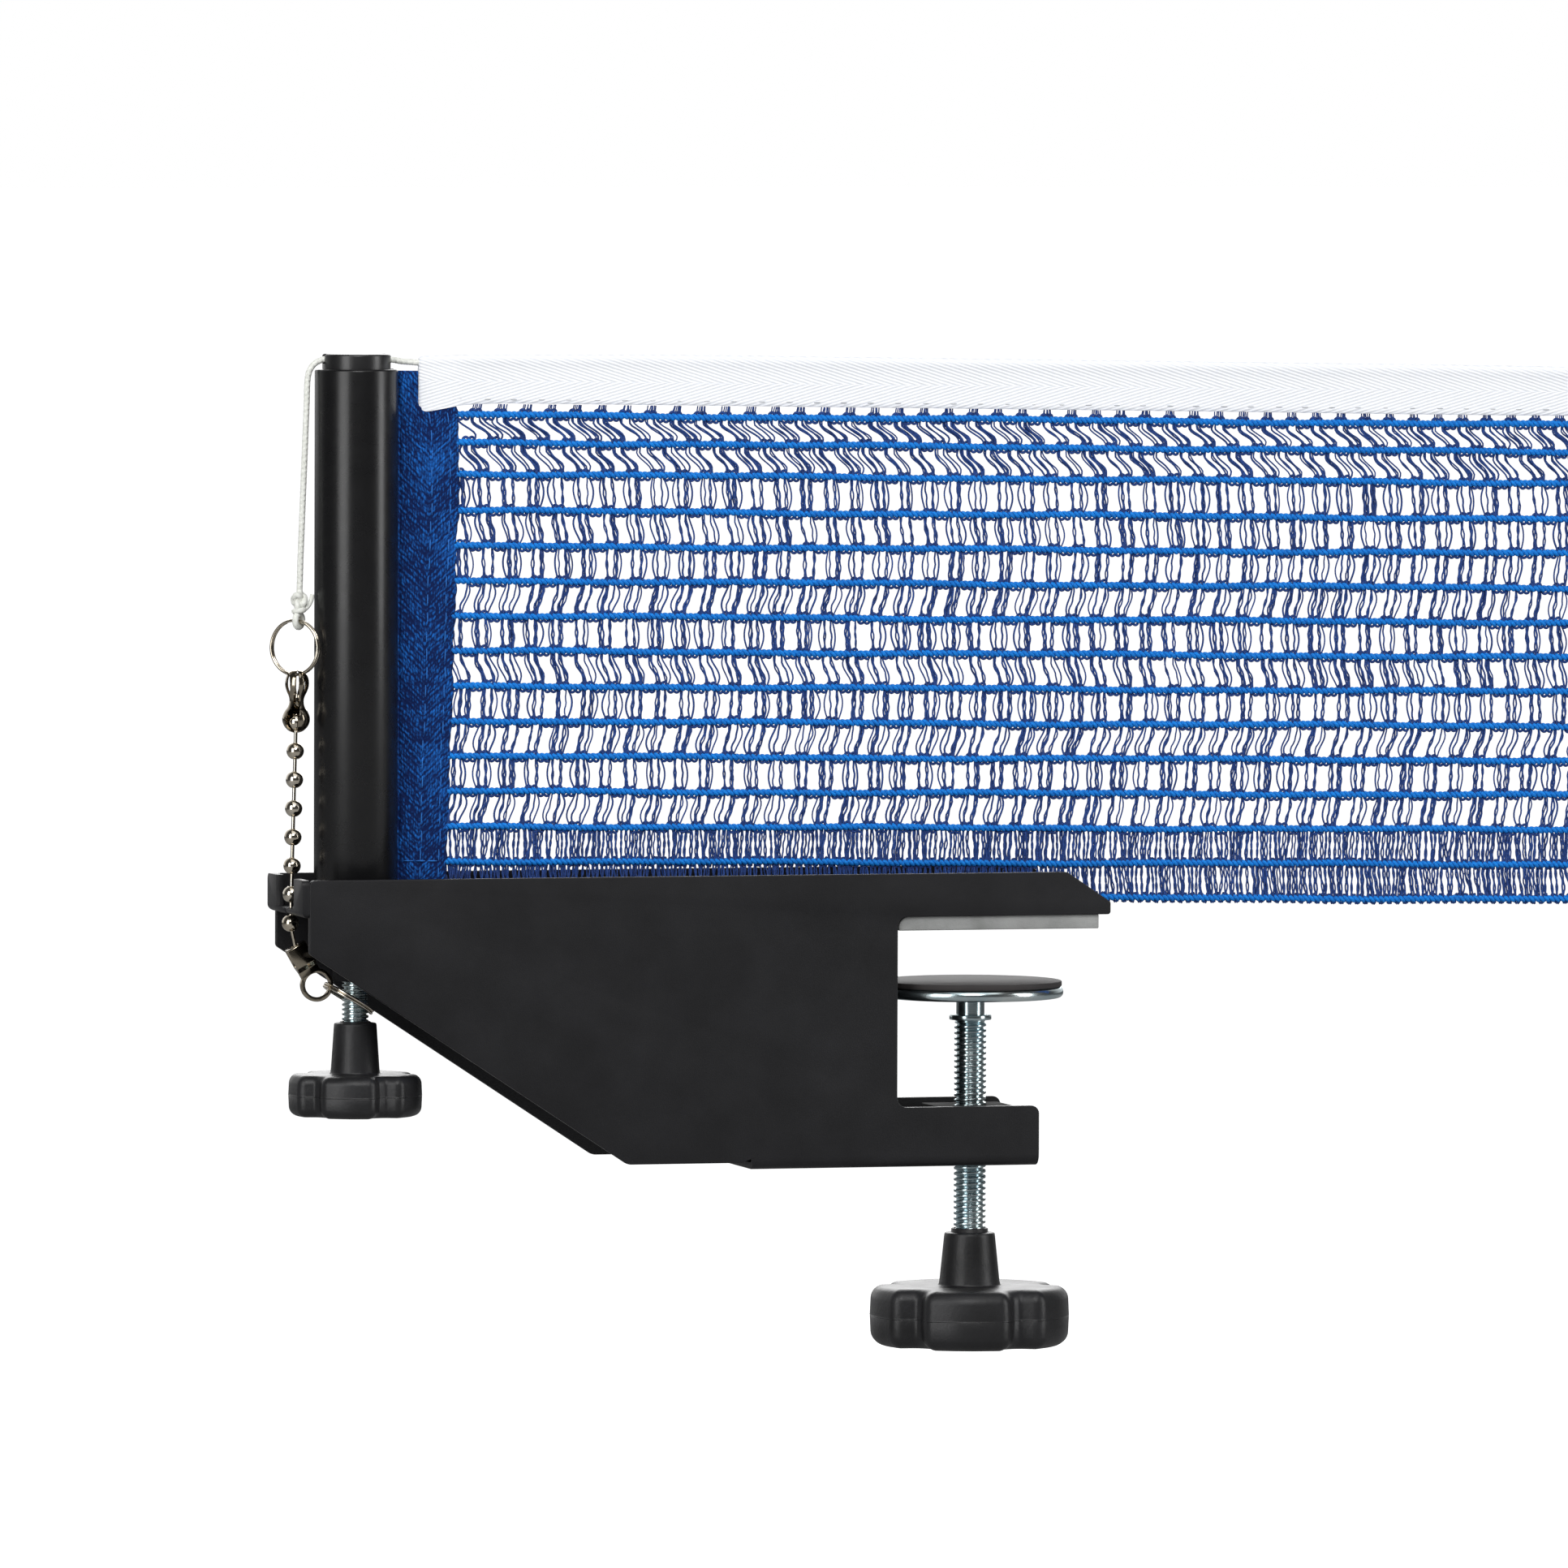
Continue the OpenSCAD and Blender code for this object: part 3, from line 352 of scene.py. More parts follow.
M_STEEL = coated(
    "rod_steel", (0.30, 0.31, 0.32), (0.40, 0.40, 0.40),
    rough=0.35, grain=1500.0, bump=0.1, metallic=1.0,
)
HEM_FALL = TAPE_LOW - HEM_FOOT
SEAM_FOOT = (POST_X + HEM_OUT - SEAMS[1] - HEM_TAPER * TAPE_LOW / HEM_FALL) * MM
M_HEM = chevron("hem_chevron", SEAM_FOOT, HEM_TAPER / HEM_FALL)
M_HEM_FAR = chevron("far_hem_chevron", (POST_X + NET_END + FAR_HEM / 2) * MM, 0.0)
M_TAPE = herringbone("tape_weave", (0.87, 0.885, 0.92), (0.77, 0.795, 0.845))
M_ROW = spun("row_cord", (0.0, 0.09, 0.38), (0.0, 0.25, 0.80), 1700.0, sheen=0.03)
M_STRAND = spun("navy_strand", (0.006, 0.012, 0.06), (0.018, 0.075, 0.32), 2300.0, sheen=0.03)
M_WHITE = spun("white_cord", (0.66, 0.67, 0.61), (0.86, 0.87, 0.83), 1500.0)
M_STITCH = spun("stitch_blue", (0.006, 0.08, 0.38), (0.02, 0.22, 0.68), 2400.0)
M_STITCH_WHITE = spun("stitch_white", (0.42, 0.43, 0.45), (0.62, 0.63, 0.65), 2400.0)

# ---- mesh helpers


def piece(name, shape, material, node, body="clamp_frame", sharp=None):
    """A mesh of points in mm and faces, which rides on a body and stands for a CAD node."""
    verts, faces = shape
    mesh = bpy.data.meshes.new(name)
    points = (np.asarray(verts, dtype=float) * MM).tolist()
    mesh.from_pydata(points, [], [list(map(int, f)) for f in faces])
    mesh.validate()
    return place(name, mesh, material, node, body, sharp)


def place(name, mesh, material, node, body, sharp):
    """An object of the mesh, smooth but for edges that turn by more than sharp degrees."""
    mesh.materials.append(material)
    mesh.shade_smooth()
    if sharp:
        mesh.set_sharp_from_angle(angle=math.radians(sharp))
    obj = add_object(name, mesh)
    if body:
        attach(obj, body)
    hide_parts(node)
    return obj


def joined(parts):
    """One list of points and faces from several."""
    verts, faces, base = [], [], 0
    for v, f in parts:
        verts.append(v)
        faces.extend([[i + base for i in face] for face in f])
        base += len(v)
    return np.concatenate(verts), faces


def xyz(x, y, z):
    """Points from their coordinates, each an array or one number for all."""
    return np.stack(np.broadcast_arrays(x, y, z), axis=-1)


def circle(count):
    """That many angles round a circle."""
    return np.linspace(0, 2 * np.pi, count, endpoint=False)


def run_of(path):
    """Distance along a path to each of its points."""
    return np.concatenate([[0], np.cumsum(np.linalg.norm(np.diff(path, axis=0), axis=1))])


def grid_faces(rows, cols, wrap=False):
    """Faces between neighbours in rows of points; wrap joins each row's last to its first."""
    faces = []
    for low in range(0, (rows - 1) * cols, cols):
        for k in range(cols if wrap else cols - 1):
            n = (k + 1) % cols
            faces.append([low + k, low + n, low + cols + n, low + cols + k])
    return faces


def end_faces(rows, cols):
    """The first and last row of points as faces, which close a tube."""
    return [list(range(cols))[::-1], [(rows - 1) * cols + k for k in range(cols)]]


def revolve(profile, centre, segments, closed=False):
    """Surface of revolution about Z of points (r, z), listed from the lower end outside."""
    a = circle(segments)
    r, z = np.hsplit(np.array(profile, dtype=float), 2)
    verts = xyz(r * np.cos(a), r * np.sin(a), z) + centre
    faces = grid_faces(len(profile), segments, True)
    if closed:
        last = (len(profile) - 1) * segments
        for k in range(segments):
            n = (k + 1) % segments
            faces.append([last + k, last + n, n, k])
    return verts.reshape(-1, 3), faces


def normals_along(p):
    """Two normals at each point of a path, carried along without twist."""
    t = np.gradient(p, axis=0)
    t /= np.linalg.norm(t, axis=1)[:, None]
    side = np.array([0.0, 1.0, 0.0]) if abs(t[0][1]) < 0.9 else np.array([1.0, 0.0, 0.0])
    normals = []
    n = side - t[0] * side.dot(t[0])
    for tangent in t:
        n = n - tangent * n.dot(tangent)
        n /= np.linalg.norm(n)
        normals.append(n)
    return np.array(normals), np.cross(t, normals)


def tube(points, radius, sides=10, relief=None, cap=True):
    """Tube along points; relief(s, angle) is added to its radius."""
    p = np.asarray(points, dtype=float)
    n, b = normals_along(p)
    a = circle(sides)
    r = np.broadcast_to(np.asarray(radius, dtype=float).reshape(-1, 1), (len(p), sides))
    if relief:
        r = r + relief(run_of(p)[:, None], a[None, :])
    around = np.cos(a)[None, :, None] * n[:, None, :] + np.sin(a)[None, :, None] * b[:, None, :]
    verts = p[:, None, :] + r[:, :, None] * around
    faces = grid_faces(len(p), sides, True)
    if cap:
        faces += end_faces(len(p), sides)
    return verts.reshape(-1, 3), faces


def smooth_path(points, step):
    """Points every step mm on a smooth curve, a Catmull-Rom spline, through the given ones."""
    p = np.asarray(points, dtype=float)
    out = []
    for i in range(len(p) - 1):
        p0, p1, p2, p3 = p[max(i - 1, 0)], p[i], p[i + 1], p[min(i + 2, len(p) - 1)]
        count = max(2, int(np.linalg.norm(p2 - p1) / step))
        t = np.linspace(0, 1, count, endpoint=False)[:, None]
        square, cube = 2 * p0 - 5 * p1 + 4 * p2 - p3, 3 * p1 - p0 - 3 * p2 + p3
        out.append(0.5 * (2 * p1 + (p2 - p0) * t + square * t**2 + cube * t**3))
    return np.concatenate(out + [p[-1:]])


def braid(period, depth, turns=2):
    """Relief of a round braid: two sets of strands that wind opposite ways."""
    k = 2 * math.pi / (turns * period)

    def relief(s, a):
        one = np.cos(turns * (a - k * s))
        two = np.cos(turns * (a + k * s) + math.pi)
        return depth * (np.maximum(one, two) - 1.0)

    return relief


def turned_about_y(verts, degrees, at):
    """Points of a local frame turned about Y as OpenSCAD's rotate([0, d, 0]) does."""
    c, s = math.cos(math.radians(degrees)), math.sin(math.radians(degrees))
    x, y, z = verts.T
    return xyz(c * x + s * z, y, c * z - s * x) + at


def dressed(node, material, width, segments=2):
    """The CAD node's own shape in place of the node, with edges of that width in mm rounded."""
    same_point, same_plane, corner, sharp = 2e-6, math.radians(0.6), math.radians(30), 40
    source = frame["nodes"][node]
    bm = bmesh.new()
    bm.from_mesh(source.data)
    bmesh.ops.remove_doubles(bm, verts=bm.verts, dist=same_point)
    bmesh.ops.dissolve_limit(bm, angle_limit=same_plane, verts=bm.verts, edges=bm.edges)
    edges = [e for e in bm.edges if len(e.link_faces) == 2 and e.calc_face_angle(0) > corner]
    bmesh.ops.bevel(
        bm, geom=edges, offset=width * MM, offset_type="OFFSET", segments=segments,
        profile=0.5, affect="EDGES", clamp_overlap=True,
    )
    mesh = bpy.data.meshes.new(node + "_skin")
    bm.to_mesh(mesh)
    bm.free()
    mesh.materials.clear()
    place(node + "_skin", mesh, material, node, body_of(source)[0], sharp)


# ---- bracket and jaw

dressed("bracket", M_COAT, 0.5, 4)
dressed("jaw_plate", M_COAT, 0.25)
dressed("jaw_pad", M_PAD, 0.5, 3)
dressed("chain_hook", M_COAT, 0.25)
dressed("post_bridge_upper", M_COAT, 0.2)
dressed("post_bridge_lower", M_COAT, 0.2)
# the weld nuts take the near black, dull painted shade
dressed("clamp_nut", M_NUT_SHADE, 0.7, 3)
dressed("height_nut", M_NUT_SHADE, 0.4)
dressed("disc_clip", M_ZINC, 0.12)
dressed("pressure_disc", M_ZINC, 0.1)
dressed("disc_pad", M_RUBBER, 0.35, 3)
dressed("post_tube", M_POST, 0.12)
dressed("post_cap", M_CAP, 0.12)
dressed("lift_rod", M_STEEL, 0.2)
dressed("hem_rod", M_STEEL, 0.2)
dressed("lower_coupling", M_COUPLING, 0.1)

# ---- screws


def threaded(axis_x, major, pitch, z_low, z_high):
    """Right-hand thread with flat crests, run out to the shaft at both ends."""
    per_turn, segments = 14, 48
    depth, crest, flank, run_out = 0.48 * pitch, 0.17, 0.26, pitch * 0.8
    z = np.linspace(z_low, z_high, int((z_high - z_low) / pitch * per_turn) + 1)[:, None]
    a = circle(segments)
    phase = np.mod(z / pitch - a / (2 * np.pi), 1.0)
    tooth = 0.5 - 0.5 * np.cos(np.pi * np.clip((np.abs(phase - 0.5) - crest) / flank, 0, 1))
    fade = np.clip((z_high - z) / run_out, 0, 1) * np.clip((z - z_low) / run_out, 0, 1)
    r = major - depth * (tooth * fade + (1 - fade) * 0.35)
    verts = xyz(axis_x + r * np.cos(a), r * np.sin(a), z).reshape(-1, 3)
    return verts, grid_faces(len(z), segments, True) + end_faces(len(z), segments)


head = revolve(
    [(0, -17.24), (5.2, -17.24), (5.5, -17.04), (5.5, -16.4), (5.0, -16.08), (0, -16.06)],
    (SCREW_X, 0, 0), 48,
)
neck = revolve([(3.2, -25.2), (3.75, -24.8), (3.75, -17.1)], (SCREW_X, 0, 0), 48)
thread = threaded(SCREW_X, major=4.25, pitch=1.5, z_low=-99.6, z_high=-25.05)
screw = joined([head, neck, thread])
piece("clamp_screw_thread", screw, M_ZINC, "clamp_screw", "clamp_screw_body", sharp=50)
thread = threaded(POST_X, major=3.5, pitch=1.25, z_low=-37.5, z_high=-2.0)
piece("height_screw_thread", thread, M_ZINC, "height_screw", "height_screw_body", sharp=50)

# ---- star knobs


def rounded_corners(points, steps):
    """Python twin of part.scad's rounded()."""
    out, m = [], len(points)
    for i in range(m):
        x, y, r = points[i]
        p = np.array([x, y])
        if r == 0:
            out.append(p)
            continue
        u = np.array(points[i - 1][:2]) - p
        v = np.array(points[(i + 1) % m][:2]) - p
        u, v = u / np.linalg.norm(u), v / np.linalg.norm(v)
        half = math.acos(np.clip(u.dot(v), -1, 1)) / 2
        centre = p + (u + v) / np.linalg.norm(u + v) * r / math.sin(half)
        start, end = p + u * r / math.tan(half) - centre, p + v * r / math.tan(half) - centre
        turn = math.pi - 2 * half
        for k in range(steps + 1):
            f = k / steps
            spoke = start * math.sin(turn * (1 - f)) + end * math.sin(turn * f)
            out.append(centre + spoke / math.sin(turn))
    return np.array(out)


def star(r, lobe_w, valley_r, round_r):
    """Outline of a star with round-ended lobes, at part.scad's own corners."""
    lobes, steps = 5, 8
    half, edge = math.asin(lobe_w / 2 / r), math.asin(lobe_w / 2 / valley_r)
    foot = edge + (math.pi / lobes - edge) * 0.45
    corners = [
        (valley_r, -foot, round_r * 0.4), (r, -half, round_r), (r, 0, r * 0.9),
        (r, half, round_r), (valley_r, foot, round_r * 0.4),
    ]
    pts = []
    for i in range(lobes):
        a = i * 2 * math.pi / lobes
        pts += [(reach * math.cos(a + b), reach * math.sin(a + b), bend) for reach, b, bend in corners]
    return rounded_corners(pts, steps)


def unit(vectors):
    """The vectors at length 1."""
    return vectors / np.maximum(np.linalg.norm(vectors, axis=1), 1e-9)[:, None]


def inward_normals(outline):
    """Unit vectors that point inside a closed outline."""
    t = unit(np.roll(outline, -1, 0) - outline) + unit(outline - np.roll(outline, 1, 0))
    t = unit(t)
    return np.stack([-t[:, 1], t[:, 0]], axis=-1)


def knob_sides(low, high, edge_r):
    """Insets and heights up the lobes: round edges, a draft and the mould's parting line."""
    arc = [(edge_r * math.sin(k * math.pi / 16), edge_r * math.cos(k * math.pi / 16)) for k in range(9)]
    draft, mid = 0.045, (low + high) / 2
    levels = [(edge_r - s, low + edge_r - c) for s, c in arc]
    levels += [(0.0, mid - 0.3), (0.08, mid - 0.12), (-0.06, mid), (0.0, mid + 0.14), (0.0, mid + 0.4)]
    levels += [(edge_r - s, high - edge_r + c) for s, c in arc[::-1]]
    return [(inset + draft * abs(z - mid), z) for inset, z in levels]


def knob_stem(high, top_z, stem_d, base_d, collar, bore_d):
    """Radii and heights from the lobes' top up the stem, over its collar and into the bore."""
    cove, stem_r, base_r, bore_r = 0.6, stem_d / 2, base_d / 2, bore_d / 2
    taper = (base_r - stem_r) / (top_z - high)
    line = [(base_r + cove + 0.6, high + 0.02)]
    for k in range(7):
        a = k * math.pi / 12
        line.append((base_r + cove * (1 - math.sin(a)), high + cove * (1 - math.cos(a))))
    line += [(base_r - taper * (z - high), z) for z in np.linspace(high + cove + 0.8, top_z - 1.1, 6)]
    rim = top_z + collar
    line += [(stem_r + 0.02, top_z - 0.4), (stem_r - 0.1, top_z - 0.12), (stem_r - 0.4, top_z)]
    line += [(bore_r + 0.9, top_z), (bore_r + 0.7, top_z + 0.15), (bore_r + 0.65, rim - 0.2)]
    return line + [(bore_r + 0.4, rim), (bore_r + 0.02, rim), (bore_r + 0.02, top_z - 4)]


def knob(
    name, node, body, axis_x, top_z, d, h, lobe_w, valley_r, turn, stem_h, stem_d, base_d, collar, bore_d
):
    """Moulded star knob with a tapered stem that runs in to its lobes through a cove."""
    edge_r = h * 0.22
    outline = star(d / 2, lobe_w, valley_r, edge_r + 0.3)
    inward = inward_normals(outline)
    m = len(outline)
    low, high = top_z - stem_h - h, top_z - stem_h
    c, s = math.cos(math.radians(turn)), math.sin(math.radians(turn))
    rings = []
    for inset, z in knob_sides(low, high, edge_r):
        x, y = ((outline + inward * inset) @ np.array([[c, s], [-s, c]])).T
        rings.append(xyz(x + axis_x, y, z))
    # the stem's rings have their points at the same angles as the outline
    ang = np.arctan2(rings[-1][:, 1], rings[-1][:, 0] - axis_x)
    for r, z in knob_stem(high, top_z, stem_d, base_d, collar, bore_d):
        rings.append(xyz(axis_x + r * np.cos(ang), r * np.sin(ang), z))
    centre = np.array([axis_x, 0, rings[0][0, 2]])
    rings = [centre + (rings[0] - centre) * share for share in (0.16, 0.5, 0.86)] + rings
    faces = grid_faces(len(rings), m, True) + end_faces(len(rings), m)[:1]
    piece(name, (np.concatenate(rings), faces), M_KNOB, node, body, sharp=60)


knob(
    "clamp_star_knob", "clamp_knob", "clamp_screw_body", SCREW_X, top_z=-81.7, d=54, h=15.9,
    lobe_w=23, valley_r=22.2, turn=-106.8, stem_h=14.1, stem_d=13.4, base_d=16.3, collar=1.2, bore_d=8.5,
)
knob(
    "height_star_knob", "height_knob", "height_screw_body", POST_X, top_z=-23.6, d=36, h=11.1,
    lobe_w=14.4, valley_r=14.8, turn=-110, stem_h=13.4, stem_d=11.2, base_d=13, collar=0.4, bore_d=7,
)

# ---- ball chain


def ball(centre, degrees):
    """A hollow ball with its two holes turned in, leaning by degrees."""
    hole = 0.9
    start = math.asin(hole / BALL_R)
    outer = [(BALL_R * math.sin(a), -BALL_R * math.cos(a)) for a in np.linspace(start, math.pi - start, 22)]
    lip = [(hole - 0.04, outer[-1][1] - 0.06), (hole - 0.02, outer[-1][1] - 0.35)]
    lip_low = [(hole - 0.02, outer[0][1] + 0.35), (hole - 0.04, outer[0][1] + 0.06)]
    v, f = revolve(lip_low + outer + lip, (0, 0, 0), 32, closed=True)
    return turned_about_y(v, degrees, centre), f


lean_deg = math.degrees(CHAIN_LEAN)
# the lowest link runs from the first ball to the clasp, and that ball leans with both
eye = np.array([POST_X - 10.5, 0, -13.5])
clasp = math.radians(29.5)
clasp_in = eye + 11.5 * np.array([-math.sin(clasp), 0, math.cos(clasp)])
first = chain_point(-BALL_R)
drop = clasp_in - first
down = drop / np.linalg.norm(drop)
low_lean = math.degrees(math.atan2(drop[0], -drop[2]))
leans = [-(low_lean - lean_deg) / 2] + [lean_deg] * (BALLS - 1)
centres = [-BALL_R + i * BALL_PITCH for i in range(BALLS)]
balls = [ball(chain_point(s), degrees) for s, degrees in zip(centres, leans)]
piece("chain_bead", joined(balls), M_NICKEL, "chain_balls", sharp=50)


def link(a, b):
    """Wire between two balls, thicker towards its ends."""
    t = np.linspace(0, 1, 15)
    r = 0.5 + 0.12 * np.clip(np.abs(t - 0.5) * 4 - 1.2, 0, 1)
    return tube(a + (b - a) * t[:, None], r, 12)


links = [link(chain_point(s + 0.4), chain_point(e - 0.4)) for s, e in zip(centres, centres[1:])]
links.append(link(first + down * 0.4, clasp_in + down * 1.1))
piece("chain_wire", joined(links), M_NICKEL, "chain_links")


def split_ring(mean_r, start):
    """Two close turns of wire; the path crosses over within a sixth of a turn."""
    rise, cross = 0.37, 0.9
    t = np.linspace(0, 4 * math.pi - 0.15, 150)
    over = np.clip((t - (2 * math.pi - cross)) / cross, 0, 1)
    z = -rise + 2 * rise * over * over * (3 - 2 * over)
    path = xyz(mean_r * np.cos(t + start), mean_r * np.sin(t + start), z)
    return tube(path, RING_WIRE_R, 10)


# The coupling is two stamped halves, each with two windows, that leave a slit for the ring
# and a wide mouth for the last ball. Each rib is a strip of sheet between two angles,
# counted from the photograph's side, at nine heights.
EIGHT = [
    (0.75, 47.85), (1.9, 48.3), (2.95, 49.3), (3.5, 50.4), (3.65, 51.4), (3.5, 52.4),
    (2.95, 53.6), (2.3, 54.5), (1.95, 55.5), (1.9, 56.5), (2.15, 57.5), (2.65, 58.6),
    (3.05, 59.8), (3.15, 60.9), (3.0, 62.1), (2.5, 63.2), (1.6, 64.05), (0.3, 64.4),
]
RIB_AT = [47.85, 51.4, 54.6, 57.4, 59.2, 60.9, 62.4, 63.4, 64.4]
RIBS = [
    ([-60, -80, -62, -62, -36, -34, -40, -62, -62], [-40, -62, -34, -22, -9, -5, -5, -5, -5]),
    ([-118] * 9, [-60, -80, -62, -62, -62, -62, -62, -62, -62]),
    ([-181] * 4 + [-174] * 5, [-118, -118, -118, -118, -144, -146, -140, -118, -118]),
    ([12, 12, 24, 20, 14, 13, 13, 13, 13], [50, 48, 60, 60, 40, 38, 42, 52, 52]),
    ([58, 58, 60, 60, 54, 52, 52, 52, 52], [118] * 9),
    ([118, 118, 118, 118, 140, 142, 138, 118, 118], [181] * 4 + [172] * 5),
]


def stamped(low, high):
    """A rib of the coupling as bent sheet between the angles low and high."""
    gauge, across = 0.45, 9
    line = smooth_path([(r, 0, s) for r, s in EIGHT], 0.18)
    r, s = line[:, 0], line[:, 2]
    dr, ds = np.gradient(r), np.gradient(s)
    run = np.hypot(dr, ds)
    inner_r, inner_s = np.maximum(r - gauge * ds / run, 0.05), s + gauge * dr / run
    share = np.linspace(0, 1, across)
    near, far = (np.interp(s, RIB_AT, side)[:, None] for side in (low, high))
    a = np.radians(AZIMUTH - 90 + near * (1 - share) + far * share)
    a = np.concatenate([a, a[:, ::-1]], axis=1)
    r = np.repeat(np.column_stack([r, inner_r]), across, axis=1)
    s = np.repeat(np.column_stack([s, inner_s]), across, axis=1)
    verts = xyz(r * np.cos(a), r * np.sin(a), s).reshape(-1, 3)
    faces = grid_faces(len(line), 2 * across, True) + end_faces(len(line), 2 * across)
    return turned_about_y(verts, lean_deg, chain_point(0)), faces


ribs = joined([stamped(*rib) for rib in RIBS])
piece("coupling_shell", ribs, M_COUPLING, "upper_coupling", sharp=35)

# the upper ring's plane stands upright, turned about the chain and slipped along itself
v, f = split_ring(UPPER_RING_R, 2.0)
along, across, up = v[:, 0] + UPPER_RING_SLIP, -v[:, 2], v[:, 1]
turn_x, turn_y = math.cos(UPPER_RING_TURN), math.sin(UPPER_RING_TURN)
upright = xyz(along * turn_x - across * turn_y, along * turn_y + across * turn_x, up)
upright = turned_about_y(upright, lean_deg, chain_point(UPPER_RING_Z))
piece("upper_split_ring", (upright, f), M_NICKEL, "upper_ring")

# the lower ring goes through the clasp's eye and round the height screw
LOW_R, LOW_TILT = 3.5 + 3.65, 31
tilt = math.radians(LOW_TILT)
low_centre = (eye[0] + 3.2 - 0.7 + LOW_R * math.cos(tilt), 0, eye[2] - LOW_R * math.sin(tilt))
v, f = split_ring(LOW_R, 0.7)
v = turned_about_y(v, LOW_TILT, low_centre)
piece("lower_split_ring", (v, f), M_NICKEL, "lower_ring")

# ---- tension cord and knot

# x from the post's axis and height over its top, as in part.scad
ROUTE = [
    (TAPE_START, 1.6), (14.35, 1.8), (12, 2), (9.6, 2.4), (5, 2.5), (0, 2.5),
    (-5, 2.6), (-7.5, 2.7), (-9.4, 2.4), (-11.1, 1.6), (-12.3, 0.3), (-13, -1.4), (-13.3, -4),
]
route = [np.array([POST_X + x, 0, POST_TOP + z]) for x, z in ROUTE]
brow, foot = np.array([POST_X - 13.4, 0, POST_TOP - 8]), chain_point(KNOT_TOP + 8)
route += [brow + (foot - brow) * k / 9 for k in range(10)]
route += [chain_point(KNOT_TOP + s) for s in (4, 2, 0)]
weave, fine_weave = braid(1.5, 0.09), braid(1.3, 0.06)
braid_r = CORD_R - 0.01
right, left = smooth_path(route[:6], 0.2), smooth_path(route[5:], 0.2)
cord_right, cord_left = (
    piece(name, tube(path, braid_r, 12, weave), M_WHITE, "tension_cord", body=None)
    for name, path in (("tension_cord_net", right), ("tension_cord_chain", left))
)
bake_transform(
    cord_right, "clamp_frame", "lift",
    start=((POST_X + 16.5) * MM, 0, 0.1505), end=((POST_X + 9.5) * MM, 0, 0.151),
)
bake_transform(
    cord_left, "clamp_frame", "lift",
    start=((POST_X - 14.6) * MM, 0, 0.108), end=((POST_X - 13) * MM, 0, 0.1475),
)


def in_chain(part, s):
    """A part of the chain's own frame, put s along the chain."""
    v, f = part
    return turned_about_y(v, lean_deg, chain_point(s)), f


t = np.linspace(0, 2 * math.pi, 40)
sideways = KNOT_LOOP_R * np.cos(t)
loop = xyz(-sideways * turn_y, sideways * turn_x, KNOT_LOOP_R * np.sin(t))
tail = smooth_path([(0.8, 0, 1.0), (2.2, -0.2, 2.2), (3.1, -0.4, 3.9), (3.4, -0.4, 5.6)], 0.25)
# an overhand knot, pulled long: the trefoil's three crossings, flattened towards the post
t = np.linspace(0, 2 * math.pi, 90)
width, height = np.sin(t) + 2 * np.sin(2 * t), np.cos(t) - 2 * np.cos(2 * t)
trefoil = xyz(0.5 * width, -0.95 * np.sin(3 * t), 3.5 + 0.88 * height)
# a little over one turn of cord round the knot's foot
turns = 1.15
t = np.linspace(0, 2 * math.pi * turns, 29)
coil = xyz(1.25 * np.cos(t + 1.0), 1.25 * np.sin(t + 1.0), 0.6 + 1.3 * t / t[-1])
core = [(0, 0, 0.2), (0, 0, 3), (0, 0, 6.3)]
knot_parts = [
    in_chain(tube(trefoil, 0.86, 12, weave), KNOT_FOOT),
    in_chain(tube(coil, 0.8, 9, fine_weave), KNOT_FOOT),
    in_chain(tube(core, CORD_R, 10), KNOT_FOOT),
    in_chain(tube(loop, braid_r, 10, cap=False), KNOT_Z),
    in_chain(tube(tail, 0.62, 9), KNOT_FOOT),
]
knot = piece("stopper_knot", joined(knot_parts), M_WHITE, "cord_knot")


# ---- net


def drooped(x, z):
    """World height of a point of the net that is x from the post's axis."""
    return z - DROOP * x


def hem_edge(z):
    """The post hem's free edge at height z: tapered, and drawn in under the tape."""
    down = TAPE_LOW - z
    return HEM_OUT - HEM_TAPER * down / HEM_FALL - 1.7 * math.exp(-max(down, 0.0) / 5) + 0.5


def row_height(i, x):
    """World height of row i at x, with slow waves that start at the hem."""
    wave = 0.16 * np.sin(x / 23 + i * 1.7) + 0.1 * np.sin(x / 8.3 + i * 2.9)
    return drooped(x, ROWS[i]) + wave * np.clip((x - hem_edge(ROWS[i])) / 12, 0, 1)


LAY, LAY_R, LAY_WIRE = 2.8, 0.46, 0.54
rows = []
for i, z in enumerate(ROWS):
    x = np.arange(hem_edge(z) - 1.0, NET_END + 0.6, 0.23)
    for k in range(2):
        a = 2 * np.pi * (x / LAY + k / 2 + i * 0.37)
        path = xyz(POST_X + x, LAY_R * np.cos(a), row_height(i, x) + LAY_R * np.sin(a))
        rows.append(tube(path, LAY_WIRE, 7))
piece("net_row_cords", joined(rows), M_ROW, "net_mesh")

# spacing of the pairs of strands, and of the single ones in the last two gaps
COLUMN, DENSE = 6.8, 1.27
FIRST_DENSE = ROW_COUNT - 3
# how far a column moves to the right in each gap, near the post and far from it
NEAR_LEAN = [4.9, 3.9, 0.2, 1.2, 0.0, -1.7, 0.0, 2.0, -0.4, -1.3, 0.0, -1.6, -0.3, 0.0]
FAR_LEAN = [3.9, 3.7, 0.3, 0.0, -0.8, -1.2, 0.2, 1.0, 0.0, -2.2, -0.4, -1.0, -0.3, 0.3]


def lean(gap, x):
    """How far a strand at x moves to the right in a gap between two rows."""
    far = np.clip((x - 30) / 300, 0, 1)
    return NEAR_LEAN[gap] + (FAR_LEAN[gap] - NEAR_LEAN[gap]) * far


columns = [np.arange(HEM_OUT + 4.4 - 3 * COLUMN, NET_END + 3 * COLUMN, COLUMN)]
for gap in range(ROW_COUNT - 1):
    columns.append(columns[-1] + lean(gap, columns[-1]))


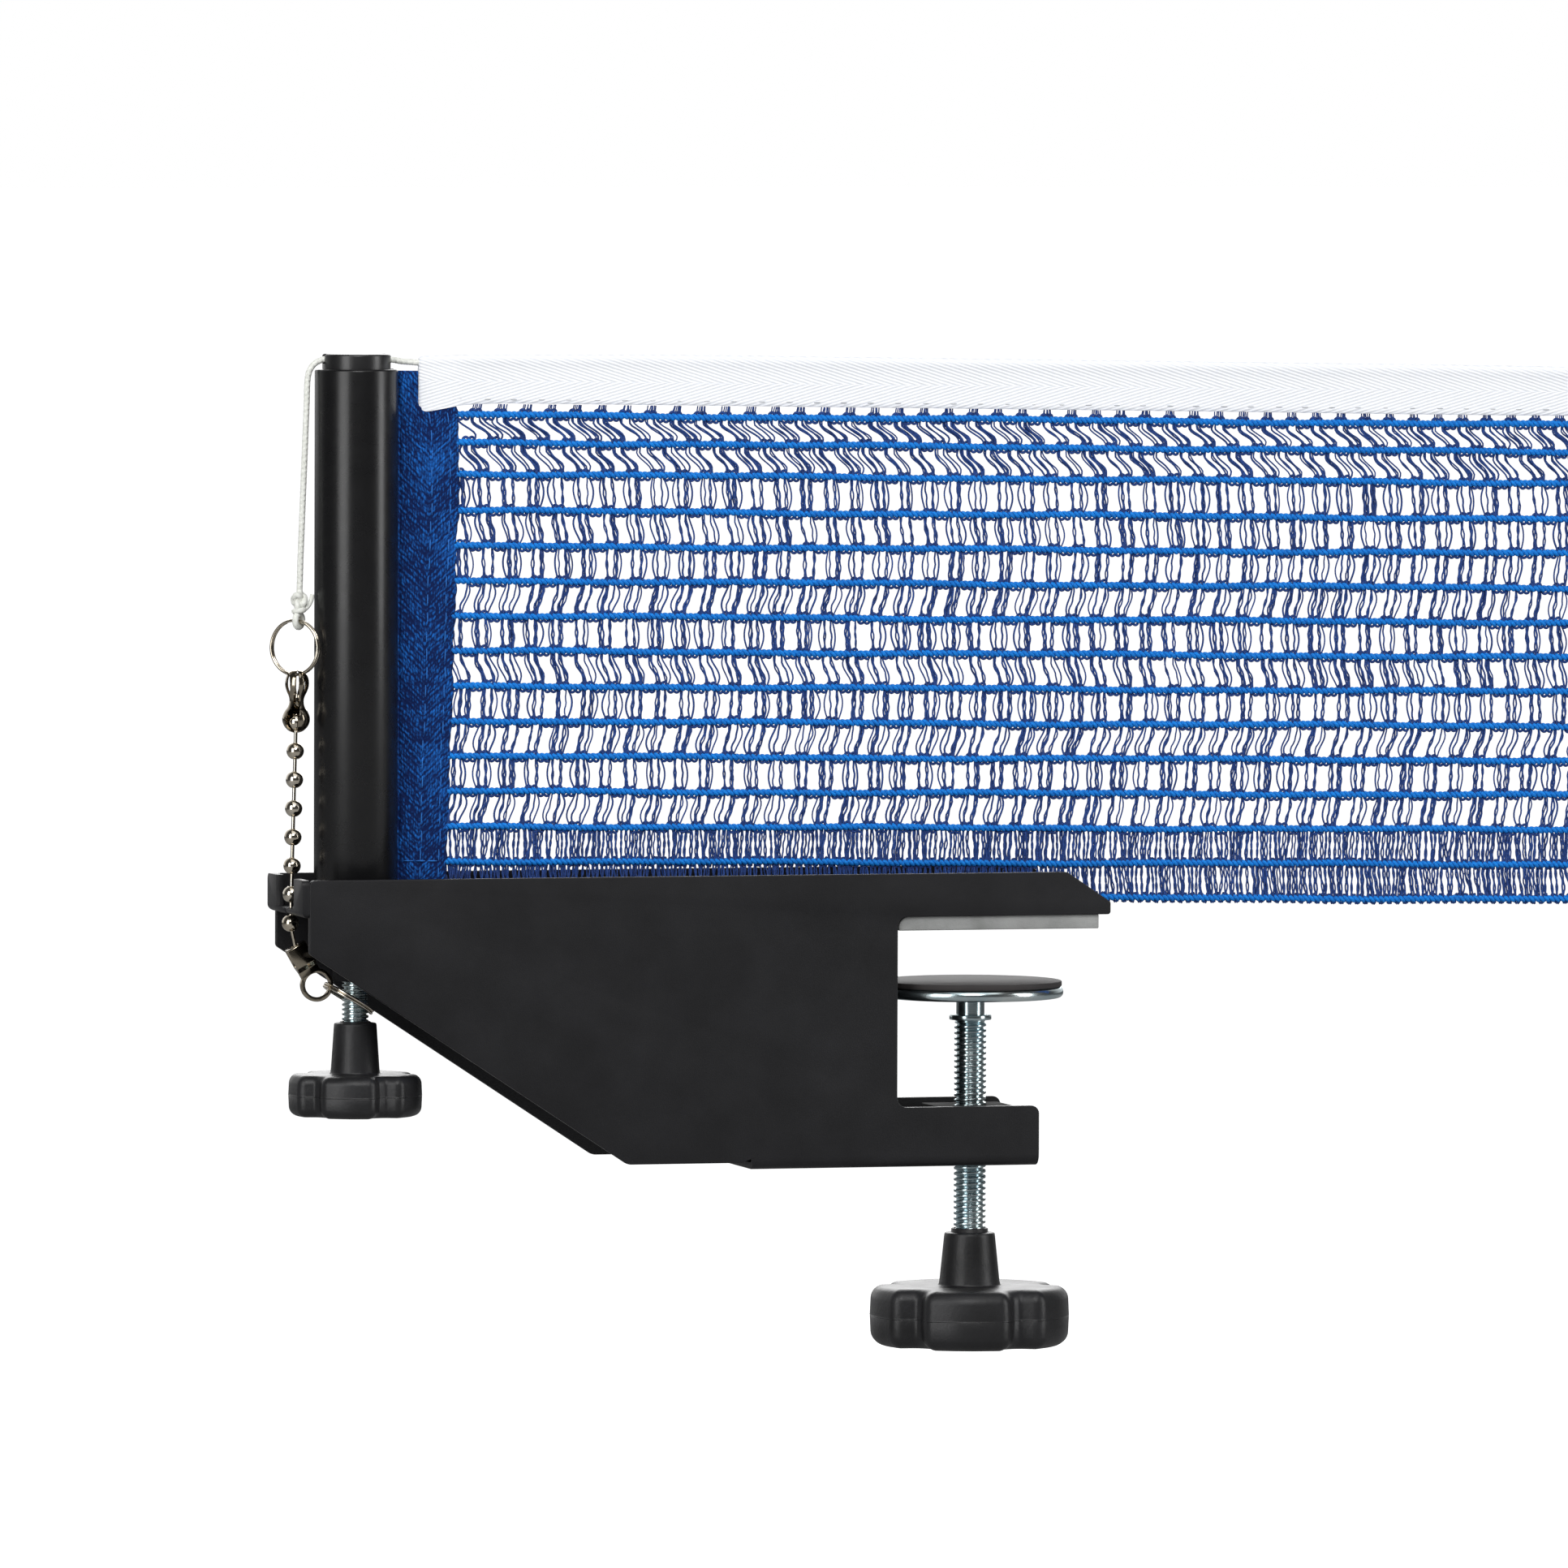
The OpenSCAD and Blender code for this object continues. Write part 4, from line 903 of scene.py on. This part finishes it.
def threads(paths, radius, sides=5):
    """Many thin tubes with the same number of points, built at once."""
    p = np.asarray(paths, dtype=float)
    count, n, _ = p.shape
    t = np.gradient(p, axis=1)
    t /= np.linalg.norm(t, axis=2)[:, :, None]
    side = np.cross(t, np.array([0.0, 1.0, 0.0]))
    side /= np.maximum(np.linalg.norm(side, axis=2), 1e-6)[:, :, None]
    other = np.cross(t, side)
    r = np.asarray(radius, dtype=float).reshape(-1, 1, 1, 1)
    a = circle(sides)[None, None, :, None]
    v = p[:, :, None, :] + r * (np.cos(a) * side[:, :, None, :] + np.sin(a) * other[:, :, None, :])
    ring = np.array(grid_faces(n, sides, True))
    faces = (ring[None] + (np.arange(count) * n * sides)[:, None, None]).reshape(-1, 4)
    return v.reshape(-1, 3), faces


paths, radii = [], []
steps = np.linspace(0, 1, 12)
ease = np.clip((steps - 0.2) / 0.6, 0, 1)
ease = ease * ease * (3 - 2 * ease)
swell = np.sin(np.pi * steps)


def strand(x0, x1, gap, bulge, depth, r, twist=0.0, phase=0.0):
    """A thread from a row to the next that swings out by bulge and may wind round another."""
    slack = 0.6
    if min(x0, x1) < hem_edge(ROWS[gap]) - slack or max(x0, x1) > NET_END + slack:
        return
    wind = twist * swell * np.sin(5 * np.pi * steps + phase)
    x = x0 + (x1 - x0) * ease + bulge * swell + wind
    top, low = row_height(gap, x0), row_height(gap + 1, x1)
    z = top + (low - top) * steps
    y = depth * swell + 0.3 * np.cos(np.pi * steps) + twist * swell * np.cos(5 * np.pi * steps + phase)
    paths.append(xyz(POST_X + x, y, z))
    radii.append(r)


for gap in range(FIRST_DENSE):
    for x0, x1 in zip(columns[gap], columns[gap + 1]):
        for side in (-1, 1):
            number = int(rng.choice([2, 2, 3, 3, 4]))
            out = side * rng.uniform(0.0, 0.35)
            loose = rng.uniform() < 0.55
            top, low = side * rng.uniform(0.85, 1.25), side * rng.uniform(0.8, 1.2)
            for k in range(number):
                at = (k - (number - 1) / 2) * side
                far_out = rng.uniform(0.5, 1.3) * side if loose and k == number - 1 else 0.0
                strand(
                    x0 + top + 0.26 * at, x1 + low + 0.26 * at, gap,
                    out + 0.14 * at + far_out + rng.normal(0, 0.08),
                    rng.normal(0, 0.25), rng.uniform(0.2, 0.29),
                    0.0 if far_out else 0.16, k * 2 * math.pi / number + rng.uniform(0, 1),
                )
for gap in range(FIRST_DENSE, ROW_COUNT - 1):
    for k, x0 in enumerate(np.arange(hem_edge(ROWS[gap]) - 1, NET_END + 1, DENSE)):
        clump = 0.3 * math.sin(k * 0.83 + gap) + rng.normal(0, 0.12)
        foot = x0 + lean(gap, x0) + rng.normal(0, 0.3) + 0.25 * math.sin(k * 0.57)
        for part in range(2 if rng.uniform() < 0.7 else 3):
            strand(
                x0 + 0.3 * part - 0.2, foot + 0.3 * part - 0.2, gap, clump + rng.normal(0, 0.16),
                rng.normal(0, 0.3), rng.uniform(0.2, 0.29), 0.15, part * 3.1 + rng.uniform(0, 1),
            )

# ends above the first row, which the tape holds
for c in columns[0]:
    for k in range(6):
        x0 = c + (k - 2.5) * 0.42
        if hem_edge(ROWS[0]) - 0.5 < x0 < NET_END:
            x = x0 + (0.75 - 0.75 * min(1.0, x0 / 200) + rng.normal(0, 0.15)) * steps
            z = drooped(x, ROWS[0] + 0.3) + (TAPE_LOW - ROWS[0] + 0.1) * steps
            paths.append(xyz(POST_X + x, 0.3 * np.sin(3 * steps + k), z))
            radii.append(0.17)
piece("net_strands", threads(paths, radii), M_STRAND, "net_mesh")

# a navy thread binds each row cord in scallops, above it at a column and below it between
wraps = []
for i, z in enumerate(ROWS):
    x = np.arange(hem_edge(z) + 0.2, NET_END, 0.24)
    turns = np.interp(x, columns[i], np.arange(len(columns[i])))
    per_column, swing = (3, 0.35) if i > FIRST_DENSE else (1, 0.5)
    phase = 2 * np.pi * turns * per_column
    angle = math.radians(80) * np.tanh(5 * np.cos(phase))
    reach = 0.9 + swing * np.abs(np.sin(2 * phase))
    path = xyz(POST_X + x, reach * np.cos(angle), row_height(i, x) + reach * np.sin(angle))
    wraps.append(tube(path, 0.38, 6))
piece("net_loop_threads", joined(wraps), M_STRAND, "net_mesh")


def hem_ripple(x, z):
    """How far the hems' cloth stands out of the net's plane."""
    return 0.1 * np.sin(z / 9 + x / 6) + 0.09 * np.sin(z / 3.7 - x / 4) + 0.05 * np.sin(z / 1.9 + x)


def cloth_strip(
    x_low, x_high, z_low, z_high, half_t, nx, nz, ripple=hem_ripple, seams=(), open_left=False
):
    """Flat folded cloth with soft edges, in the net's own plane, pulled in at its seams.

    It runs from x_low to x_high, a function of the height, as a grid of nx by nz points.
    """
    u, w = np.linspace(0, 1, nx)[None, :], np.linspace(0, 1, nz)[:, None]
    z = z_low + (z_high - z_low) * w + 0 * u
    lo, hi = x_low, np.array([x_high(v) for v in z[:, 0]])[:, None]
    x = lo + (hi - lo) * u
    edge = np.minimum(np.minimum(x - lo, hi - x), np.minimum(z - z_low, z_high - z))
    t = half_t * np.sqrt(np.clip(1 - (1 - np.clip(edge / (half_t * 1.2), 0, 1)) ** 2, 0.02, 1))
    for inset in seams:
        t = t * (1 - 0.3 * np.exp(-(((hi - x) - inset) / 0.7) ** 2))
    y = ripple(x, z)
    sides = [xyz(POST_X + x, y + side * t, drooped(x, z)).reshape(-1, 3) for side in (-1, 1)]
    n = nx * nz
    faces = grid_faces(nz, nx) + [[i + n for i in f][::-1] for f in grid_faces(nz, nx)]
    rim = list(range(nx)) + [k * nx + nx - 1 for k in range(1, nz)]
    rim += [n - 1 - k for k in range(1, nx)] + [(nz - 1 - k) * nx for k in range(1, nz - 1)]
    for a, b in zip(rim, rim[1:] + rim[:1]):
        if not (open_left and a % nx == 0 and b % nx == 0):
            faces.append([b, a, a + n, b + n])
    return np.concatenate(sides), faces


def ragged(z):
    """Small waves and pulled yarns of the hem's free edge."""
    return 0.2 * math.sin(z / 4.3) + 0.14 * math.sin(z / 1.45 + 1) + 0.1 * math.sin(z / 0.62)


HEM_LOW, HEM_IN = HEM_FOOT + 0.1, 11.3
LOOP_X, LOOP_TOP = POST_X + 6.7, 140.6
hem_low = cloth_strip(
    HEM_IN, lambda z: hem_edge(z) + ragged(z), HEM_LOW, TAPE_LOW + 0.2,
    half_t=0.9, nx=44, nz=420, seams=SEAMS,
)
hem_top = cloth_strip(
    HEM_IN, lambda z: TAPE_START - 0.05, TAPE_LOW - 1.5, POST_TOP - 0.3, half_t=0.9, nx=18, nz=40
)
# the loop round the hem rod, and the web from it through the post's slot
wall = [(2.0, HEM_FOOT), (2.7, HEM_FOOT + 0.2), (2.7, LOOP_TOP - 0.2), (2.0, LOOP_TOP)]
loop = revolve(wall, (LOOP_X, 0, 0), 32, closed=True)
web = cloth_strip(
    9.0, lambda z: 12.0, HEM_LOW, LOOP_TOP - 0.1, half_t=0.85, nx=8, nz=60, ripple=lambda x, z: 0 * x
)
hem = joined([hem_low, hem_top, loop, web])
hem_cloth = piece("net_hem_cloth", hem, M_HEM, "net_hem")
far = cloth_strip(
    NET_END + 0.1, lambda z: NET_END + FAR_HEM - 0.05, HEM_LOW, TAPE_LOW - 0.05,
    half_t=0.88, nx=36, nz=240, open_left=True,
)
far_cloth = piece("far_hem_cloth", far, M_HEM_FAR, "net_hem_far")


def stitches(path, length, gap, radius, y):
    """Short raised stitches along a path of (x, z), on both faces of the cloth."""
    p = np.array(path)
    s = run_of(p)
    out = []
    for start in np.arange(0.6, s[-1] - length, length + gap):
        at = np.linspace(start, start + length, 5)
        x, z = np.interp(at, s, p[:, 0]), np.interp(at, s, p[:, 1])
        rise = 0.1 * np.sin(np.linspace(0, np.pi, 5))
        x = x + 0.16 * math.sin(start / 7.1) + 0.12 * math.sin(start / 2.3 + 1)
        for side in (-1, 1):
            bow = xyz(POST_X + x, side * (y + rise), z)
            out.append(tube(bow, np.array([0.5, 0.95, 1, 0.95, 0.5]) * radius, 6))
    return out


seam = []
z_line = np.linspace(HEM_FOOT + 1, TAPE_LOW - 0.8, 60)
for inset in SEAMS:
    near = [(hem_edge(z) - inset, drooped(hem_edge(z) - inset, z)) for z in z_line]
    away = [(NET_END + inset, drooped(NET_END + inset, z)) for z in z_line]
    seam += stitches(near, length=3.1, gap=1.7, radius=0.15, y=0.72)
    seam += stitches(away, length=3.1, gap=1.7, radius=0.15, y=0.9)
across = [(x, drooped(x, 19.2)) for x in (12, 16, 20, hem_edge(19) - 0.8)]
seam += stitches(across, length=2.6, gap=0.7, radius=0.19, y=0.94)
hem_seams = piece("hem_stitches", joined(seam), M_STITCH, "net_hem")

# ---- tape

near_end = np.array([0, 0.12, 0.35, 0.7, 1.2, 1.8, 2.5])
middle = np.arange(TAPE_START + 3.5, TAPE_END - 3.5, 1.5)
x = np.concatenate([TAPE_START + near_end, middle, TAPE_END - near_end[::-1]])
from_end = np.minimum(x - TAPE_START, TAPE_END - x)
corner = np.sqrt(np.clip(1 - (1 - np.clip(from_end / 2.4, 0, 1)) ** 2, 0, 1))
# half thickness and height: a thin fold that swells over the cord at its top
SECTION_H = 12.88
half = np.array([
    (0.35, 0.0), (0.62, 0.25), (0.66, 1.2), (0.62, 2.6), (0.7, 5.0), (0.72, 7.5), (0.78, 9.2),
    (0.98, 10.2), (1.15, 11.0), (1.18, 11.7), (0.98, 12.4), (0.55, 12.8), (0.0, SECTION_H),
])
section = np.concatenate([half * (-1, 1), half[-2::-1]])
low_cut, high_cut = (1 - corner) * 2.2, (1 - corner) * 0.9
share = section[:, 1][None, :] / SECTION_H
# as in the photograph, the top rises after the start and the lower edge hangs there
along = (TAPE_START, TAPE_START + 15, 80, 120, 200, 300, TAPE_END)
rise = np.interp(x, along, (0.1, 0.5, 1.05, 1.0, 0.8, 0.6, 0.2))
hang = 1.9 * np.exp(-(((x - TAPE_START) / 8) ** 2))
hang -= np.interp(x, (TAPE_START + 8, 40, 100, 200, 300), (0, 0.6, 0.6, 0.3, 0.1))
z = (low_cut - hang)[:, None] + share * (SECTION_H - low_cut - high_cut + rise + hang)[:, None]
squeeze = np.clip(0.45 + 0.55 * corner, 0, 1)[:, None]
# over the hem, which is thicker, the tape's sides stand further out
over_hem = 0.92 * np.clip((HEM_OUT + 1.5 - x) / 2.5, 0, 1)[:, None]
fuller = np.where(np.abs(section[:, 1]) < 10, np.sign(section[:, 0]) * 1.12, section[:, 0])[None, :]
wavy = 0.14 * np.sin(x / 17) + 0.08 * np.sin(x / 5.1)
y = section[:, 0][None, :] * (1 - over_hem) + fuller * over_hem
y = y * squeeze + (wavy[:, None] * (1 - share) * 0.9)
z = TAPE_LOW + z + (0.1 * np.sin(x / 31 + 1))[:, None] * (1 - share) * 0.5
verts = xyz(POST_X + x[:, None], y, drooped(x[:, None], z)).reshape(-1, 3)
# the fold stays open below, where the net hangs out of it
faces = grid_faces(len(x), len(section)) + end_faces(len(x), len(section))
tape = piece("net_tape_cloth", (verts, faces), M_TAPE, "net_tape", sharp=70)
line = [(v, drooped(v, TAPE_LOW + 1.7)) for v in np.arange(TAPE_START + 2, TAPE_END - 1, 4)]
seam = joined(stitches(line, length=1.7, gap=5.8, radius=0.16, y=0.66))
tape_seam = piece("tape_stitches", seam, M_STITCH_WHITE, "net_tape")

# ---- far end of the tape's cord

LOOP_R, WRAP_R = 5, 1.35
end_z = drooped(TAPE_END, TAPE_TOP - 1.7)
straight = np.array([(POST_X + TAPE_END - 0.5 + d, 0, end_z) for d in np.arange(0, 12.6, 0.25)])
t = np.linspace(0, 2 * math.pi, 60)
ring_x, ring_z = POST_X + TAPE_END + 17 - LOOP_R * np.cos(t), end_z + LOOP_R * np.sin(t)
ring = xyz(ring_x, 0, ring_z)
t = np.linspace(0, 2 * math.pi * 3, 78)
wrap_x = POST_X + TAPE_END + 10.2 + 3.4 * t / t[-1]
wrap = xyz(wrap_x, WRAP_R * np.cos(t), end_z + WRAP_R * np.sin(t))
loop_parts = [
    tube(straight, braid_r, 10, weave),
    tube(ring, braid_r, 10, weave, cap=False),
    tube(wrap, 0.8, 9, fine_weave),
]
far_loop = piece("far_cord_loop", joined(loop_parts), M_WHITE, "far_loop")

# ---- stage and light


def area_light(name, azimuth, elevation, distance, width, power, height=None):
    """A lamp that looks at the middle of the part from that side, its sizes in metres."""
    data = bpy.data.lights.new(name, "AREA")
    data.shape = "RECTANGLE"
    data.size, data.size_y = width, height or width
    data.energy = power
    middle = Vector((-0.05, 0, 0.03))
    add_object(name, data).matrix_world = facing(middle, direction(azimuth, elevation), distance)


area_light("left_box", -52, 14, 1.6, 0.7, power=12.5, height=1.3)
area_light("right_box", 58, 14, 1.8, 0.5, power=13, height=1.3)
area_light("top_box", 0, 62, 1.5, 1.2, power=5)
area_light("front_fill", -12, 36, 2.4, 0.9, power=21)
area_light("back_box", 165, 25, 2.0, 1.2, power=18)


def ray_kinds(tree):
    """Is a ray seen straight or through glass, and is it seen in a mirror."""
    rays = add_node(tree, "LightPath").outputs
    straight = {"i0": rays["Is Camera Ray"], "i1": rays["Is Transmission Ray"]}
    seen = add_node(tree, "Math", operation="MAXIMUM", **straight)
    return seen.outputs[0], rays["Is Glossy Ray"]


def background(tree, color, strength):
    shader = add_node(tree, "Background", Color=(*color, 1), Strength=strength)
    return shader.outputs[0]


world = bpy.data.worlds.new("studio")
bpy.context.scene.world = world
world.use_nodes = True
tree = world.node_tree
tree.nodes.clear()
seen, mirrored = ray_kinds(tree)
heading = add_node(tree, "TexCoord").outputs["Generated"]
axes = add_node(tree, "SeparateXYZ", Vector=heading)
# metal shows the white backdrop behind the part, and the dim room before it
room = background(tree, (1, 1, 1), map_range(tree, axes.outputs[1], 0.35, 0.92, 0.06, 1.0))
shown = background(tree, (1, 1, 1), 1.0)
lit = background(tree, (0.97, 0.98, 1), 0.26)
unseen = add_node(tree, "MixShader", i0=mirrored, i1=lit, i2=room)
chooser = add_node(tree, "MixShader", i0=seen, i1=unseen.outputs[0], i2=shown)
add_node(tree, "OutputWorld", i0=chooser.outputs[0])

FLOOR_HALF, FLOOR_Z = 30.0, -0.26
floor_mesh = bpy.data.meshes.new("floor")
corners = [(FLOOR_HALF * x, FLOOR_HALF * y, FLOOR_Z) for x, y in ((-1, -1), (1, -1), (1, 1), (-1, 1))]
floor_mesh.from_pydata(corners, [], [(0, 1, 2, 3)])
floor = add_object("floor", floor_mesh)
pale = Look(
    "pale_floor", Base_Color=(0.32, 0.32, 0.32, 1), Roughness=0.9, Specular_IOR_Level=0.0,
    Emission_Color=(1, 1, 1, 1),
)
# it glows white in the picture and lights nothing; the glow is lower close to the part, a painted shade
# round it, in which the part's own shadow shows too
away = add_node(pale.tree, "VectorMath", operation="LENGTH", i0=pale.point)
glow = pale.remap(away.outputs["Value"], 0.4, 1.1, 0.62, 0.98)
seen, _ = ray_kinds(pale.tree)
pale.tree.links.new(pale.math("MULTIPLY", glow, seen), pale.shader.inputs["Emission Strength"])
floor_mesh.materials.append(pale.material)

bpy.context.scene.view_settings.view_transform = "Standard"
